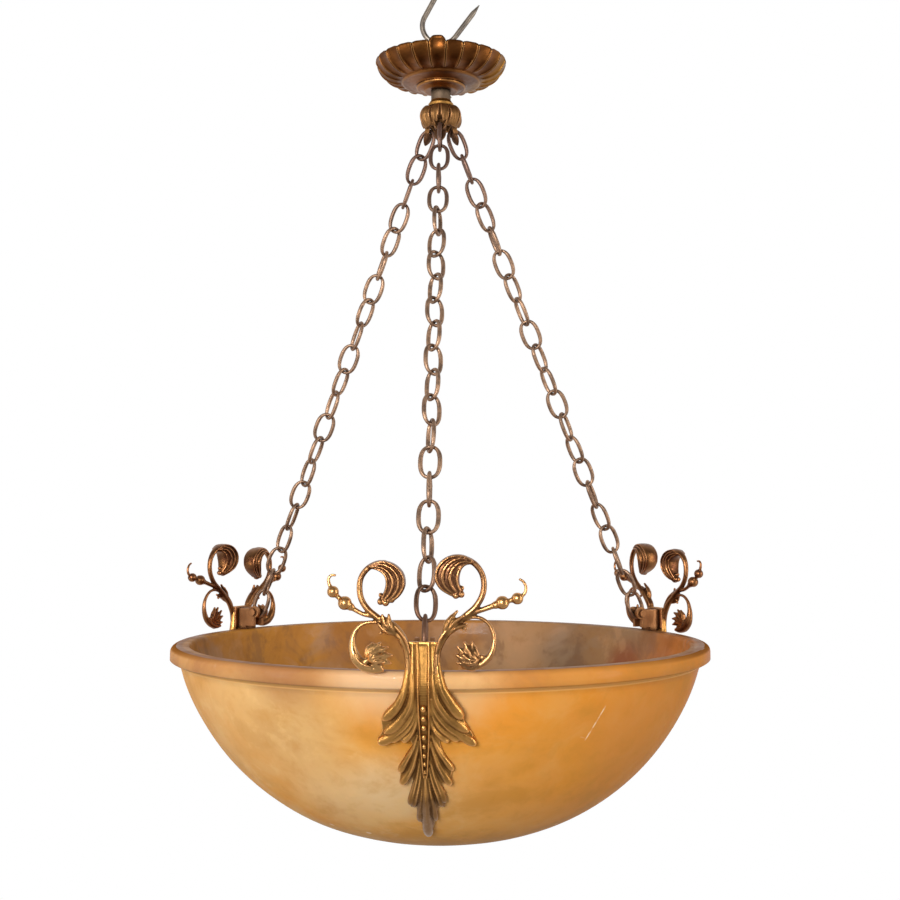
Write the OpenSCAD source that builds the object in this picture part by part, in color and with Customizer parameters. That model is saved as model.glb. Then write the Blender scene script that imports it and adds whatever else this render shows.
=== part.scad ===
// Hanging bowl light: a stone bowl on three chains from a fluted ceiling rose.
// Millimetres, +Z up. The origin is where the top bend of the S-hook bears on its support.

/* [Hook and stem] */
// Diameter of the S-hook's round wire
hook_wire_d = 4; // [3:0.5:5]
// Height between the wire centres of the hook's two bends
hook_span = 90.5; // [84:0.5:110]
// Radius of the hook's lower bend, to the middle of the wire
hook_low_r = 16.2; // [13:0.1:18]
// Radius of the hook's top bend, to the middle of the wire
hook_top_r = 13; // [10:0.5:15]
// Length of the hook's open end, from the bend to its point
hook_end = 34; // [20:1:40]
// Diameter of the suspension loop's round wire
loop_wire_d = 4.5; // [4:0.5:6]
// Radius of the suspension loop, to the middle of its wire
loop_r = 9; // [8:0.5:11]
// Outer diameter of the threaded stem tube
stem_d = 10; // [8:1:12]

/* [Ceiling rose] */
// Height from the hook's lower bend down to the rose's rim
rose_drop = 17; // [14:0.5:24]
// Diameter of the rose over its rim
rose_d = 114; // [100:1:130]
// Height of the rose from its rim to its bottom face
rose_h = 25.5; // [22:0.5:32]
// Thickness of the rose's sheet
rose_wall = 1.6; // [1.2:0.1:2.2]
// Number of flutes round the rose
rose_flutes = 24; // [18:1:30]
// How far the rose can be lifted up the stem
rose_lift = 12; // [8:1:14]
// Height of the collar that carries the rose
collar_h = 8; // [7:0.5:12]
// Outer diameter of the collar
collar_d = 17; // [16:0.5:20]

/* [Chain hub] */
// Height of the bead above the hub
bead_h = 6; // [4:0.5:8]
// Greatest diameter of the hub's body, without its leaves
hub_d = 33; // [31:0.5:40]
// Height from the hub's top down to where the chains bear
hub_h = 20.6; // [19:0.2:26]
// Distance of each chain's top from the axis
hub_claw_r = 11.8; // [11:0.1:14]
// Radial thickness of a claw
claw_t = 4.2; // [3.6:0.2:5]

/* [Chains] */
// Number of links in each chain
chain_links = 21; // [15:2:25]
// Rise from one link to the next along the chain
link_pitch = 22.26; // [20:0.02:26]
// Diameter of the links' round wire
link_wire_d = 2.8; // [2.2:0.1:3.2]
// Width of a link to the middle of its wire
link_w = 14.6; // [13:0.1:16]
// Bend radius of a link's ends, to the middle of the wire
link_end_r = 5.2; // [4.6:0.1:5.6]
// Space left between links and what they hang on
link_gap = 0.3; // [0.2:0.05:0.5]

/* [Bowl] */
// Diameter of the bowl over its lip
bowl_d = 450; // [400:5:500]
// Height of the bowl from its rim to its bottom
bowl_h = 160.5; // [150:0.5:180]
// Thickness of the bowl's wall
bowl_wall = 9; // [7:0.5:11]
// Height of the lip band
lip_h = 12; // [9:0.5:14]
// How far the lip stands out from the body
lip_out = 7.5; // [6:0.5:9]
// Radius of the lip's rounded edges
lip_round = 3; // [2:0.5:4]

/* [Brackets] */
// Height of a bracket's stem above the rim
stem_h = 22; // [19:0.5:26]
// Half width of the stem's front plate
stem_half_w = 8; // [7.5:0.1:9]
// Thickness of the leaf's plate
leaf_t = 2.6; // [2:0.1:3]
// Height of the leaf's ribs above its plate
leaf_rib = 1.6; // [1:0.1:2.2]
// Depth below the rim at which the leaf meets the bowl
leaf_land = 56; // [50:1:60]
// Diameter of the scroll arms' round section
arm_d = 3.5; // [3:0.1:4]
// Diameter of the pin that carries a chain's last link
chain_pin_d = 4.4; // [4:0.1:5]
// Play between the pin and the last link
pin_play = 0.6; // [0.4:0.1:0.8]
// Distance of each chain pin inside the bowl's lip
pin_inset = 19.9; // [18:0.1:21]
// Height of the chain's end above the rim
pin_h = 13.8; // [13:0.1:15]

/* [Fixings and lamps] */
// Diameter of the screws that hold the leaves to the bowl
leaf_screw_d = 4; // [3:0.5:4]
// Depth of these screws below the rim
screw_depth = 66; // [60:1:70]
// Depth of the lamp plate below the rim
plate_depth = 84; // [80:1:92]
// Diameter of the round plate that carries the lampholders
plate_d = 44; // [40:1:50]
// Outer diameter of a lampholder
holder_d = 26; // [24:0.5:28]
// Diameter of a candle bulb
bulb_d = 34; // [30:1:36]
// Length of a candle bulb's glass
bulb_len = 72; // [64:1:76]

/* [Hidden] */
$fn = 48;

// Directions of the three chains, and of the lamps between them. The front one stands a
// hundredth of a degree off the axis plane, so that no seams of its round shapes coincide.
chain_dirs = [-89.99, 30, 150];
lamp_dirs = [-30, 90, 210];
// Space between parts of different bodies
clear = 0.3;

// Heights, from the hook down
pivot_z = hook_wire_d / 2 - hook_span;
rose_rim_z = pivot_z - rose_drop;
rose_base_z = rose_rim_z - rose_h;
collar_z = rose_base_z - collar_h;
hub_top_z = collar_z - bead_h;
claw_z = hub_top_z - hub_h;

// Each chain runs straight from its claw to the pin on its bracket
chain_len = chain_links * link_pitch;
chain_end_r = bowl_d / 2 - pin_inset;
chain_run = chain_end_r - hub_claw_r;
chain_lean = asin(chain_run / chain_len);
chain_drop = chain_len * cos(chain_lean);
rim_z = claw_z - chain_drop - pin_h;

// Hook: the shank is the straight line that touches both bends from opposite sides
hook_low_z = pivot_z + hook_low_r;
hook_top_z = hook_wire_d / 2 - hook_top_r;
hook_centres = hook_top_z - hook_low_z;
hook_lean = asin((hook_low_r + hook_top_r) / hook_centres);
hook_flare = 37;
hook_tip_h = 9;

// Suspension loop
loop_z = pivot_z + hook_wire_d / 2 + clear - (loop_r - loop_wire_d / 2);
socket_top_z = loop_z - loop_r + 1;
socket_h = 12;
socket_d = stem_d + 5;
socket_z = socket_top_z - socket_h;
nut_h = 4;
stem_bore_r = stem_d / 2 + 0.05;
stem_wall = 1.25;
stem_top_z = socket_z + socket_h - 2;

// Ceiling rose
rose_r = rose_d / 2;
ring_1_r = 33.4;
ring_2_r = 21;
ring_1_z = rose_base_z + 8.7;
ring_2_z = rose_base_z + 4.2;
rose_hole_r = stem_d / 2 + clear;
ridge_d = 2.2;

// The rose's wall bulges along an arc from the outer ring to the rim
wall_low = [ring_1_r + 2.1, ring_1_z + 0.3];
wall_chord = [rose_r, rose_rim_z] - wall_low;
wall_arc_r = 0.85 * norm(wall_chord);
wall_back = sqrt(pow(wall_arc_r, 2) - pow(norm(wall_chord) / 2, 2)) / norm(wall_chord);
wall_centre = wall_low + wall_chord / 2 + wall_back * [-wall_chord[1], wall_chord[0]];
wall_from = atan2(wall_low[1] - wall_centre[1], wall_low[0] - wall_centre[0]);
wall_to = atan2(rose_rim_z - wall_centre[1], rose_r - wall_centre[0]);
wall_steps = 6;
function wall_point(i, r) =
  wall_centre + r * [cos(wall_from + (wall_to - wall_from) * i / wall_steps),
                     sin(wall_from + (wall_to - wall_from) * i / wall_steps)];

// Chain hub
hub_r = hub_d / 2;
bead_top_r = 9.4;
bead_low_r = 11;
hub_cavity_r = 9.6;
hub_roof = 7;
hub_lobes = 6;
hub_lobe_r = 7;
hub_lobe_bend = 15;
claw_half_w = 6;
claw_tip = 6.4;
claw_root = 9;
claw_hole_r = 2.7;
claw_land = 1.2;

// Links: two end bends and two wide side bends that meet them without a corner
link_half = (link_pitch + link_wire_d + link_gap) / 2;
end_c = link_half - link_end_r;
side_r = (pow(end_c, 2) + pow(link_w / 2, 2) - pow(link_end_r, 2)) / (link_w - 2 * link_end_r);
side_sweep = asin(end_c / (side_r - link_end_r));

// How far each link turns from the one above, as [link, degrees] steps
twist_front = [[1, 0], [4, 0], [7, 50], [13, 50], [15, 90], [17, 90], [19, 130], [21, 180]];
twist_side = [[1, 0], [21, 540]];

// Bowl: the body's radius at a depth below the rim follows one flattened oval
lip_r = bowl_d / 2;
body_top_r = lip_r - lip_out;
bowl_fullness = 2.5;
bowl_steepness = 1.53;
body_steps = 22;
body_a = body_top_r / pow(1 - pow(lip_h / bowl_h, bowl_steepness), 1 / bowl_fullness);
function body_r(depth) =
  body_a * pow(max(0, 1 - pow(min(depth, bowl_h) / bowl_h, bowl_steepness)), 1 / bowl_fullness);
function body_slope(depth) = atan((body_r(depth - 0.5) - body_r(depth + 0.5)));
function step_depth(i) = lip_h + (bowl_h - lip_h) * sin(90 * i / body_steps);
function body_point(depth, out) = [
  body_r(depth) + out * cos(body_slope(depth)),
  -depth - out * sin(body_slope(depth))
];

// Leaf: its back follows the lip, leans in to the body and lies along it
land_r = body_r(leaf_land) + clear;
stand_r = lip_r + clear;
stand_low = lip_h + 2;
leaf_depths = [leaf_land, 66, 76, 86, 96, 106, 115, 123, 131];
function lean_slope() = atan((stand_r - land_r) / (leaf_land - stand_low));
leaf_edge = [
  [8, 22], [8, 2.5], [9.4, -2], [11.8, -5], [16, -12.7], [22, -19.5], [28, -26.5], [30, -33],
  [31.5, -41], [35.5, -48], [33, -52], [27, -50], [21, -51], [16.5, -48.5], [11.3, -48],
  [11, -52.3], [15.5, -60], [19.5, -68], [19.5, -75.3], [18.3, -83], [14, -81], [10.5, -79],
  [12.2, -85.5], [14.5, -95], [13.5, -102], [8.6, -101.4], [7.8, -108], [7, -115], [4, -125],
  [0, -131]
];
leaf_ribs = [
  [[4.2, 22], [6, 22], [6, 0], [9, -9], [15, -18], [23, -28], [31, -46], [29, -45], [19, -28],
    [11, -17], [5, -7], [4.2, 0]],
  [[5, -14], [8, -21], [16, -34], [23, -48], [20, -48], [12, -35], [5, -24]],
  [[3.6, -24], [6.5, -36], [10, -46], [7, -46], [3.6, -34]],
  [[4, -50], [9, -60], [15, -78], [12, -78], [6, -62], [3.6, -56]],
  [[3.4, -62], [8, -82], [10.5, -98], [8, -98], [4.6, -80], [3.4, -70]],
  [[2.4, -84], [4.4, -100], [4, -112], [2.2, -100]]
];
bead_row = 8;
bead_top = 24;
bead_step = 6.9;

// Scroll arms, as bends in the plane of the bracket
arm_y = lip_r + 1.8;
arm_root = [54, -0.5, 44, 127, 176.7];
arm_rise = [-8.6, 82.5, 60, -53, -35];
arm_crown = [26.5, 58, 17.2, -35, 112];
arm_low = [35.7, 18.2, 15.5, -128, 125];
arm_bend = [0, 4];
bend_at = [10, 6];

// Saddle on the rim, and the rivets through stem, arms and saddle
root_t = 2.8;
saddle_back_r = lip_r + clear - root_t - 0.4;
saddle_front_r = chain_end_r - 4.5;
saddle_top = 19;
cheek_gap = link_wire_d + 5;
cheek_t = 3;
rivet_r = 1.5;
rivet_heights = [6, 16];
pin_back = chain_pin_d / 2 + pin_play / 2;
pin_centre_r = chain_end_r - pin_back * sin(chain_lean);
pin_centre_h = pin_h + pin_back * cos(chain_lean);
pin_half = cheek_gap / 2 + cheek_t + 1.2;

// Screws through the bowl's wall and what they hold
screw_r = leaf_screw_d / 2;
screw_tilt = body_slope(screw_depth);
boss_r = screw_r + 1.4;
boss_len = 5;
washer_t = 1.5;
washer_r = 7;
tab_t = 2.5;
tab_r = 7.5;
tab_drop = 12;
screw_head_r = 4.2;
screw_head_h = 2.8;
seat = bowl_wall + clear;

// Lamp plate, holders and bulbs
plate_t = 3;
plate_z = rim_z - plate_depth;
arm_w = 12;
ear_t = 2.5;
ear_drop = 32;
holder_z = plate_z - 17;
holder_len = 34;
holder_back_r = plate_d / 2 + ear_t - 1;
cap_r = 6.8;
cap_len = 22;

// A bend of round rod in the XZ plane: [centre x, centre z, radius, first angle, last angle]
module bend(b, rod_d) {
  translate([b[0], 0, b[1]])
    rotate([90, 0, 0])
      rotate([0, 0, b[3]])
        rotate_extrude(angle = b[4] - b[3])
          translate([b[2], 0])
            circle(d = rod_d);
}

// A straight taper between two points of the XZ plane
module taper(from, to, d1, d2) {
  run = to - from;
  translate([from[0], 0, from[1]])
    rotate([0, atan2(run[0], run[1]), 0])
      cylinder(h = norm(run), d1 = d1, d2 = d2);
}

module ball_at(p, d) {
  translate([p[0], 0, p[1]]) sphere(d = d);
}

// A ball a little thicker than the rod joins two bends or tapers where they meet
module weld(p, rod_d) {
  ball_at(p, rod_d * 1.04);
}

function bend_end(b, a) = [b[0] + b[2] * cos(a), b[1] + b[2] * sin(a)];

// Turns what is drawn towards the front so that it faces one of the chains
module facing(dir) {
  rotate([0, 0, dir + 90]) children();
}

// Axes at the top of a chain: -Z runs down the chain, +X points away from the stem
module chain_axes(dir) {
  rotate([0, 0, dir]) translate([hub_claw_r, 0, claw_z]) rotate([0, -chain_lean, 0]) children();
}

// Axes on a leaf screw: +Z runs outwards through the wall, zero on the bowl's outer face
module screw_axes(dir) {
  facing(dir)
    translate([0, -body_r(screw_depth), rim_z - screw_depth])
      rotate([90 + screw_tilt, 0, 0])
        children();
}

// Axes along a lamp: +Z runs outwards from the lamp plate's ear
module lamp_axes(dir) {
  rotate([0, 0, dir]) translate([holder_back_r, 0, holder_z]) rotate([0, 90, 0]) children();
}

module s_hook() color("dimgray") {
  low = [0, hook_low_z, hook_low_r, 180 - hook_lean, 360 - hook_flare];
  top = [0, hook_top_z, hook_top_r, -hook_lean, 205];
  low_end = [hook_low_r * cos(hook_flare), hook_low_z - hook_low_r * sin(hook_flare)];
  way = [sin(hook_flare), cos(hook_flare)];
  shank_a = [-hook_low_r * cos(hook_lean), hook_low_z + hook_low_r * sin(hook_lean)];
  shank_b = [hook_top_r * cos(hook_lean), hook_top_z - hook_top_r * sin(hook_lean)];
  neck = low_end + way * (hook_end - hook_tip_h);
  bend(low, hook_wire_d);
  bend(top, hook_wire_d);
  for (p = [shank_a, shank_b, low_end, neck]) weld(p, hook_wire_d);
  weld(bend_end(top, 205), hook_wire_d);
  taper(shank_a, shank_b, hook_wire_d, hook_wire_d);
  taper(low_end, neck, hook_wire_d, hook_wire_d);
  taper(neck, low_end + way * hook_end, hook_wire_d, 0.6);
}

module suspension_loop() color("peru") {
  difference() {
    union() {
      translate([0, 0, loop_z])
        rotate([0, 90, 0])
          rotate_extrude()
            translate([loop_r, 0])
              circle(d = loop_wire_d);
      translate([0, 0, socket_z]) cylinder(h = socket_h, d = socket_d);
    }
    translate([0, 0, socket_z - 1]) cylinder(h = stem_top_z - socket_z + 1.3, r = stem_bore_r);
  }
}

module loop_nut() color("goldenrod") {
  translate([0, 0, socket_z - nut_h])
    difference() {
      cylinder(h = nut_h, d = stem_d + 8, $fn = 6);
      translate([0, 0, -1]) cylinder(h = nut_h + 2, r = stem_bore_r);
    }
}

module stem_tube() color("darkgoldenrod") {
  low = hub_top_z - hub_roof - nut_h - 2;
  translate([0, 0, low])
    difference() {
      cylinder(h = stem_top_z - low, d = stem_d);
      translate([0, 0, -1]) cylinder(h = stem_top_z - low + 2, d = stem_d - 2 * stem_wall);
    }
}

// The rose's sheet: a round-walled dish with two stepped rings, open at its rim
module rose_dish() {
  outside = [for (i = [0 : wall_steps]) wall_point(i, wall_arc_r)];
  inside = [for (i = [wall_steps : -1 : 0]) wall_point(i, wall_arc_r - rose_wall)];
  rotate_extrude()
    polygon(concat(
      [
        [rose_hole_r, rose_base_z], [14, rose_base_z], [15.2, rose_base_z + 0.9],
        [ring_2_r - 1.8, ring_2_z - 1.6], [ring_2_r - 0.6, ring_2_z - 1.8],
        [ring_2_r + 0.3, ring_2_z - 1.1], [ring_2_r + 0.4, ring_2_z], [ring_2_r - 0.2, ring_2_z + 1],
        [ring_1_r - 2.8, ring_1_z - 1.9], [ring_1_r - 1, ring_1_z - 1.9],
        [ring_1_r + 0.4, ring_1_z - 1.3], [ring_1_r + 1.1, ring_1_z - 0.4]
      ],
      outside, inside,
      [
        [ring_1_r, ring_1_z + 1.4], [ring_2_r + 0.4, ring_2_z + 2.7],
        [ring_2_r - 2.6, ring_2_z + 0.2], [14.4, rose_base_z + rose_wall + 0.4],
        [rose_hole_r, rose_base_z + rose_wall]
      ]
    ));
}

// One ridge between two petals: a half-round rib that follows the wall's arc
module rose_ridge() {
  bend([wall_centre[0], wall_centre[1], wall_arc_r, wall_from - 2, wall_to + 6], ridge_d);
}

module canopy() color("saddlebrown") {
  intersection() {
    union() {
      rose_dish();
      for (i = [0 : rose_flutes - 1]) rotate([0, 0, (i + 0.5) * 360 / rose_flutes]) rose_ridge();
    }
    translate([0, 0, rose_base_z - 1]) cylinder(h = rose_h + 1, r = rose_r + 4);
  }
}

module canopy_collar() color("rosybrown") {
  screw_z = collar_h / 2;
  translate([0, 0, collar_z])
    difference() {
      cylinder(h = collar_h, d = collar_d);
      translate([0, 0, -1]) cylinder(h = collar_h + 2, r = stem_bore_r);
      translate([0, 0, screw_z]) rotate([0, 90, 0]) cylinder(h = collar_d, r = 1.55);
    }
}

module collar_screw() color("silver") {
  translate([stem_d / 2 + 0.1, 0, collar_z + collar_h / 2])
    rotate([0, 90, 0])
      cylinder(h = collar_d / 2 - stem_d / 2 + 0.6, r = 1.5);
}

module hub_bead() color("darkgoldenrod") {
  rotate_extrude()
    polygon([
      [stem_bore_r, hub_top_z], [bead_low_r - 0.5, hub_top_z], [bead_low_r, hub_top_z + 0.6],
      [bead_low_r, hub_top_z + bead_h * 0.45], [bead_low_r - 0.8, hub_top_z + bead_h * 0.6],
      [bead_top_r, hub_top_z + bead_h * 0.8], [bead_top_r - 0.8, hub_top_z + bead_h],
      [stem_bore_r, hub_top_z + bead_h]
    ]);
}

// A claw: a pointed lug that the chain's first link passes through
module hub_claw() {
  translate([-claw_t / 2, 0, 0])
    rotate([90, 0, 90])
      linear_extrude(height = claw_t)
        polygon([
          [-claw_half_w, claw_root], [-claw_half_w, 4], [-claw_half_w * 0.8, -1],
          [-1.6, -claw_tip + 1.2], [0, -claw_tip], [1.6, -claw_tip + 1.2],
          [claw_half_w * 0.8, -1], [claw_half_w, 4], [claw_half_w, claw_root]
        ]);
}

// The claw's bore, opened out on both faces so that the link's bend can roll in it
module claw_bore() {
  translate([0, 0, claw_hole_r - link_gap / 2]) {
    rotate([0, 90, 0]) cylinder(h = 2 * claw_t, r = claw_hole_r, center = true);
    for (side = [-90, 90])
      rotate([0, side, 0])
        translate([0, 0, claw_land / 2])
          cylinder(h = claw_t, r1 = claw_hole_r, r2 = claw_hole_r + claw_t * 0.75);
  }
}

module hub_body() {
  rotate_extrude()
    polygon([
      [0, hub_top_z], [bead_low_r - 0.6, hub_top_z], [hub_r - 3.6, hub_top_z - 2.2],
      [hub_r - 1, hub_top_z - 5], [hub_r, hub_top_z - 9], [hub_r - 0.6, hub_top_z - 12],
      [hub_r - 2.6, hub_top_z - 16], [hub_r - 4, hub_top_z - 18.2], [0, hub_top_z - 18.2]
    ]);
}

// The hub's leaves stand out from its body as rounded lobes
module hub_lobe() {
  translate([hub_r + 1.6 - hub_lobe_bend, 0, hub_top_z - 9.5])
    rotate([90, 0, 0])
      rotate([0, 0, -42])
        rotate_extrude(angle = 80)
          translate([hub_lobe_bend - hub_lobe_r, 0])
            circle(r = hub_lobe_r);
}

module chain_hub() color("sienna") {
  cavity_h = hub_h;
  difference() {
    union() {
      hub_body();
      for (i = [0 : hub_lobes - 1]) rotate([0, 0, 30 + i * 360 / hub_lobes]) hub_lobe();
      for (dir = chain_dirs) chain_axes(dir) hub_claw();
    }
    translate([0, 0, hub_top_z - hub_roof - cavity_h]) cylinder(h = cavity_h, r = hub_cavity_r);
    translate([0, 0, hub_top_z - hub_roof - 1]) cylinder(h = hub_roof + 2, r = stem_bore_r);
    for (dir = chain_dirs) chain_axes(dir) {
      link_path();
      claw_bore();
    }
  }
}

// Room for the first link where it comes out through the hub's lower edge
module link_path() {
  slot = link_wire_d + 1.2;
  reach = link_w / 2 + link_wire_d;
  translate([-reach, -slot / 2, -1]) cube([reach - claw_t / 2, slot, 6.5]);
  translate([claw_t / 2, -slot / 2, -1]) cube([reach, slot, 6.5]);
}

module hub_nut() color("goldenrod") {
  translate([0, 0, hub_top_z - hub_roof - nut_h])
    difference() {
      cylinder(h = nut_h, d = 17, $fn = 6);
      translate([0, 0, -1]) cylinder(h = nut_h + 2, r = stem_bore_r);
    }
}

// One link in the XZ plane, its long axis along Z
module link() {
  turn = 90 - side_sweep;
  bend([0, end_c, link_end_r, 90 - turn, 90 + turn], link_wire_d);
  bend([0, -end_c, link_end_r, 270 - turn, 270 + turn], link_wire_d);
  bend([link_w / 2 - side_r, 0, side_r, -side_sweep, side_sweep], link_wire_d);
  bend([side_r - link_w / 2, 0, side_r, 180 - side_sweep, 180 + side_sweep], link_wire_d);
  for (side = [-1, 1], end = [-1, 1])
    weld([side * link_end_r * cos(side_sweep), end * (end_c + link_end_r * sin(side_sweep))], link_wire_d);
}

// A taut chain: each link hangs in the one above, about a right angle from it
module chain(dir, twist) color("peru") {
  chain_axes(dir)
    for (i = [1 : chain_links])
      translate([0, 0, -(i - 0.5) * link_pitch])
        rotate([0, 0, 90 * (i - 1) - lookup(1 + 20 * (i - 1) / (chain_links - 1), twist)])
          link();
}

module chain_a() { chain(chain_dirs[0], twist_front); }
module chain_b() { chain(chain_dirs[1], twist_side); }
module chain_c() { chain(chain_dirs[2], twist_side); }

module bowl() color("burlywood") {
  outer = [for (i = [0 : body_steps]) body_point(step_depth(i), 0)];
  inner = [for (i = [body_steps - 1 : -1 : 1]) body_point(step_depth(i), -bowl_wall)];
  rim_in = inner[len(inner) - 1][0];
  difference() {
    translate([0, 0, rim_z])
      rotate_extrude()
        polygon(concat(
          outer,
          [[0, bowl_wall - bowl_h]],
          inner,
          [
            [rim_in + 0.6, -lip_round], [rim_in + 1.2, -1], [rim_in + lip_round, 0],
            [lip_r - lip_round, 0], [lip_r - 1, -0.8], [lip_r, -lip_round],
            [lip_r, lip_round - lip_h], [lip_r - 0.9, 0.9 - lip_h], [lip_r - lip_round, -lip_h]
          ]
        ));
    for (dir = chain_dirs)
      screw_axes(dir)
        translate([0, 0, -bowl_wall - 4])
          cylinder(h = bowl_wall + 8, r = boss_r + clear);
  }
}

// The leaf's back, from the stem's top to its point, moved out by a thickness
function leaf_back(out) = concat(
  [[stand_r + out, stem_h], [stand_r + out, -stand_low + out * tan(lean_slope() / 2)]],
  [for (d = leaf_depths) body_point(d, clear + out)]
);

// What lies between two distances from the leaf's back, within an outline
module leaf_layer(outline, low, high) {
  inner = leaf_back(low);
  outer = leaf_back(high);
  intersection() {
    rotate([0, 0, -110])
      rotate_extrude(angle = 40)
        polygon(concat(outer, [for (i = [len(inner) - 1 : -1 : 0]) inner[i]]));
    translate([0, -body_r(131) + 20, 0]) rotate([90, 0, 0]) linear_extrude(height = 140) polygon(outline);
  }
}

// Plate, raised ribs and the row of beads down the middle
module leaf_face() {
  mirrored = [for (i = [len(leaf_edge) - 2 : -1 : 0]) [-leaf_edge[i][0], leaf_edge[i][1]]];
  leaf_layer(concat(leaf_edge, mirrored), 0, leaf_t);
  for (rib = leaf_ribs) {
    leaf_layer(rib, leaf_t - 1, leaf_t + leaf_rib);
    leaf_layer([for (p = rib) [-p[0], p[1]]], leaf_t - 1, leaf_t + leaf_rib);
  }
  for (i = [0 : bead_row - 1]) {
    depth = bead_top + i * bead_step;
    lean = depth < leaf_land ? lean_slope() : body_slope(depth);
    back_r = depth < leaf_land ? stand_r - (depth - stand_low) * tan(lean_slope()) : body_r(depth);
    translate([0, -back_r - leaf_t * cos(lean) + 0.6, -depth - leaf_t * sin(lean)]) sphere(r = 1.9);
  }
}

module leaf(dir) color("goldenrod") {
  difference() {
    union() {
      screw_axes(dir) translate([0, 0, -boss_len]) cylinder(h = boss_len + 1, r = boss_r);
      facing(dir) translate([0, 0, rim_z]) leaf_face();
    }
    screw_axes(dir) translate([0, 0, -boss_len - 1]) cylinder(h = boss_len + 3, r = screw_r + 0.05);
    facing(dir)
      for (h = rivet_heights)
        translate([0, -lip_r + 5, rim_z + h])
          rotate([90, 0, 0])
            cylinder(h = 20, r = rivet_r + 0.05);
  }
}

module leaf_a() { leaf(chain_dirs[0]); }
module leaf_b() { leaf(chain_dirs[1]); }
module leaf_c() { leaf(chain_dirs[2]); }

// The curled leaf that ends the large scroll
module crown_leaf() {
  at = [arm_crown[0], arm_crown[1]];
  bend([at[0], at[1], 11, 98, 172], 12.6);
  ball_at(at + 11 * [cos(98), sin(98)], 13.2);
  ball_at(at + 11 * [cos(172), sin(172)], 13.2);
  taper(at + [-11, 1], at + [-2, -10], 11.4, 6);
  ball_at(at + [-2, -10], 7);
}

// The small leaves gathered at the end of the low scroll
module low_leaves() {
  foot = [arm_low[0] - 4, arm_low[1] - 14];
  tips = [[-8, 1], [-8, 5.5], [-5.5, 9.5], [-2, 12.5], [2, 13]];
  for (tip = tips) {
    taper(foot, foot + tip, 5, 2.4);
    ball_at(foot + tip, 3);
  }
  for (side = [-1, 1])
    translate([0, side * 2.4, 0]) taper(foot, foot + [-3, 7.5], 5.6, 3.2);
  ball_at(foot, 5.8);
}

// The shoot with its two berries and its tendril
module berry_shoot(turn) {
  root = [33.5, 37.2];
  way = [cos(30 + turn), sin(30 + turn)];
  out = [cos(41 + turn), sin(41 + turn)];
  first = root + 21 * way;
  second = first + 10.6 * out;
  curl = second + 8.6 * [cos(68 + turn), sin(68 + turn)];
  taper(root, first, 3.6, 2.6);
  ball_at(first, 8.8);
  taper(first, second, 3.2, 3.2);
  ball_at(second, 7.8);
  taper(second, curl + [3.8, 0], 3, 1.8);
  bend([curl[0], curl[1], 3.8, 0, 150], 1.8);
}

module arm(turn) {
  translate([bend_at[0], 0, bend_at[1]])
    rotate([0, -turn, 0])
      translate([-bend_at[0], 0, -bend_at[1]]) {
        bend(arm_root, arm_d);
        bend(arm_rise, arm_d);
        bend(arm_crown, arm_d);
        bend(arm_low, arm_d * 0.85);
        for (b = [arm_root, arm_rise, arm_crown]) {
          weld(bend_end(b, b[3]), arm_d);
          weld(bend_end(b, b[4]), arm_d);
        }
        for (a = [arm_low[3], arm_low[4]]) weld(bend_end(arm_low, a), arm_d * 0.95);
        taper([25, 33], [33.5, 37.2], 4.6, 3.4);
        taper([27.5, 31.5], [27, 24.5], 3.4, 1.6);
        ball_at([23.4, 36], 4.4);
        crown_leaf();
        low_leaves();
        berry_shoot(-3 * turn);
      }
}

module scrolls(dir) color("peru") {
  root_y = lip_r + clear - root_t - 0.2;
  facing(dir) translate([0, 0, rim_z])
    difference() {
      union() {
        translate([0, -arm_y, 0]) {
          arm(arm_bend[1]);
          mirror([1, 0, 0]) arm(arm_bend[0]);
        }
        translate([-11.4, -root_y - root_t, 1.2]) cube([22.8, root_t, stem_h - 3]);
        for (side = [-1, 1])
          translate([side * 10 - 1.5, -arm_y, 2.6]) cube([3, root_t + 1.5, 8]);
      }
      for (h = rivet_heights)
        translate([0, -root_y + 1, h]) rotate([90, 0, 0]) cylinder(h = root_t + 2, r = rivet_r + 0.05);
    }
}

module scrolls_a() { scrolls(chain_dirs[0]); }
module scrolls_b() { scrolls(chain_dirs[1]); }
module scrolls_c() { scrolls(chain_dirs[2]); }

// A saddle stands on the rim behind the stem and holds the chain pin in two cheeks
module rim_saddle() {
  base_in = saddle_back_r - 9;
  cheek_len = saddle_back_r - saddle_front_r;
  difference() {
    union() {
      translate([-cheek_gap / 2 - cheek_t, -saddle_back_r, clear])
        cube([cheek_gap + 2 * cheek_t, saddle_back_r - base_in, saddle_top]);
      for (side = [-1, 1])
        translate([side * (cheek_gap + cheek_t) / 2 - cheek_t / 2, -saddle_back_r, clear]) {
          translate([0, 0, 3]) cube([cheek_t, cheek_len - 3, saddle_top - 3]);
          translate([0, cheek_len - 3, pin_centre_h])
            rotate([0, 90, 0])
              cylinder(h = cheek_t, r = 5.4);
        }
    }
    translate([-pin_half - 1, -pin_centre_r, pin_centre_h])
      rotate([0, 90, 0])
        cylinder(h = 2 * pin_half + 2, r = chain_pin_d / 2 + 0.05);
    for (h = rivet_heights)
      translate([0, -base_in + 1, h])
        rotate([90, 0, 0])
          cylinder(h = 12, r = rivet_r + 0.05);
  }
}

module rim_saddles() color("darkgoldenrod") {
  for (dir = chain_dirs) facing(dir) translate([0, 0, rim_z]) rim_saddle();
}

module chain_pins() color("darkgoldenrod") {
  for (dir = chain_dirs)
    facing(dir)
      translate([0, -pin_centre_r, rim_z + pin_centre_h])
        rotate([0, 90, 0])
          translate([0, 0, -pin_half]) {
            cylinder(h = 2 * pin_half, d = chain_pin_d);
            for (end = [-1, 2 * pin_half - 0.6])
              translate([0, 0, end]) cylinder(h = 1.6, d = chain_pin_d + 1.8);
          }
}

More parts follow.
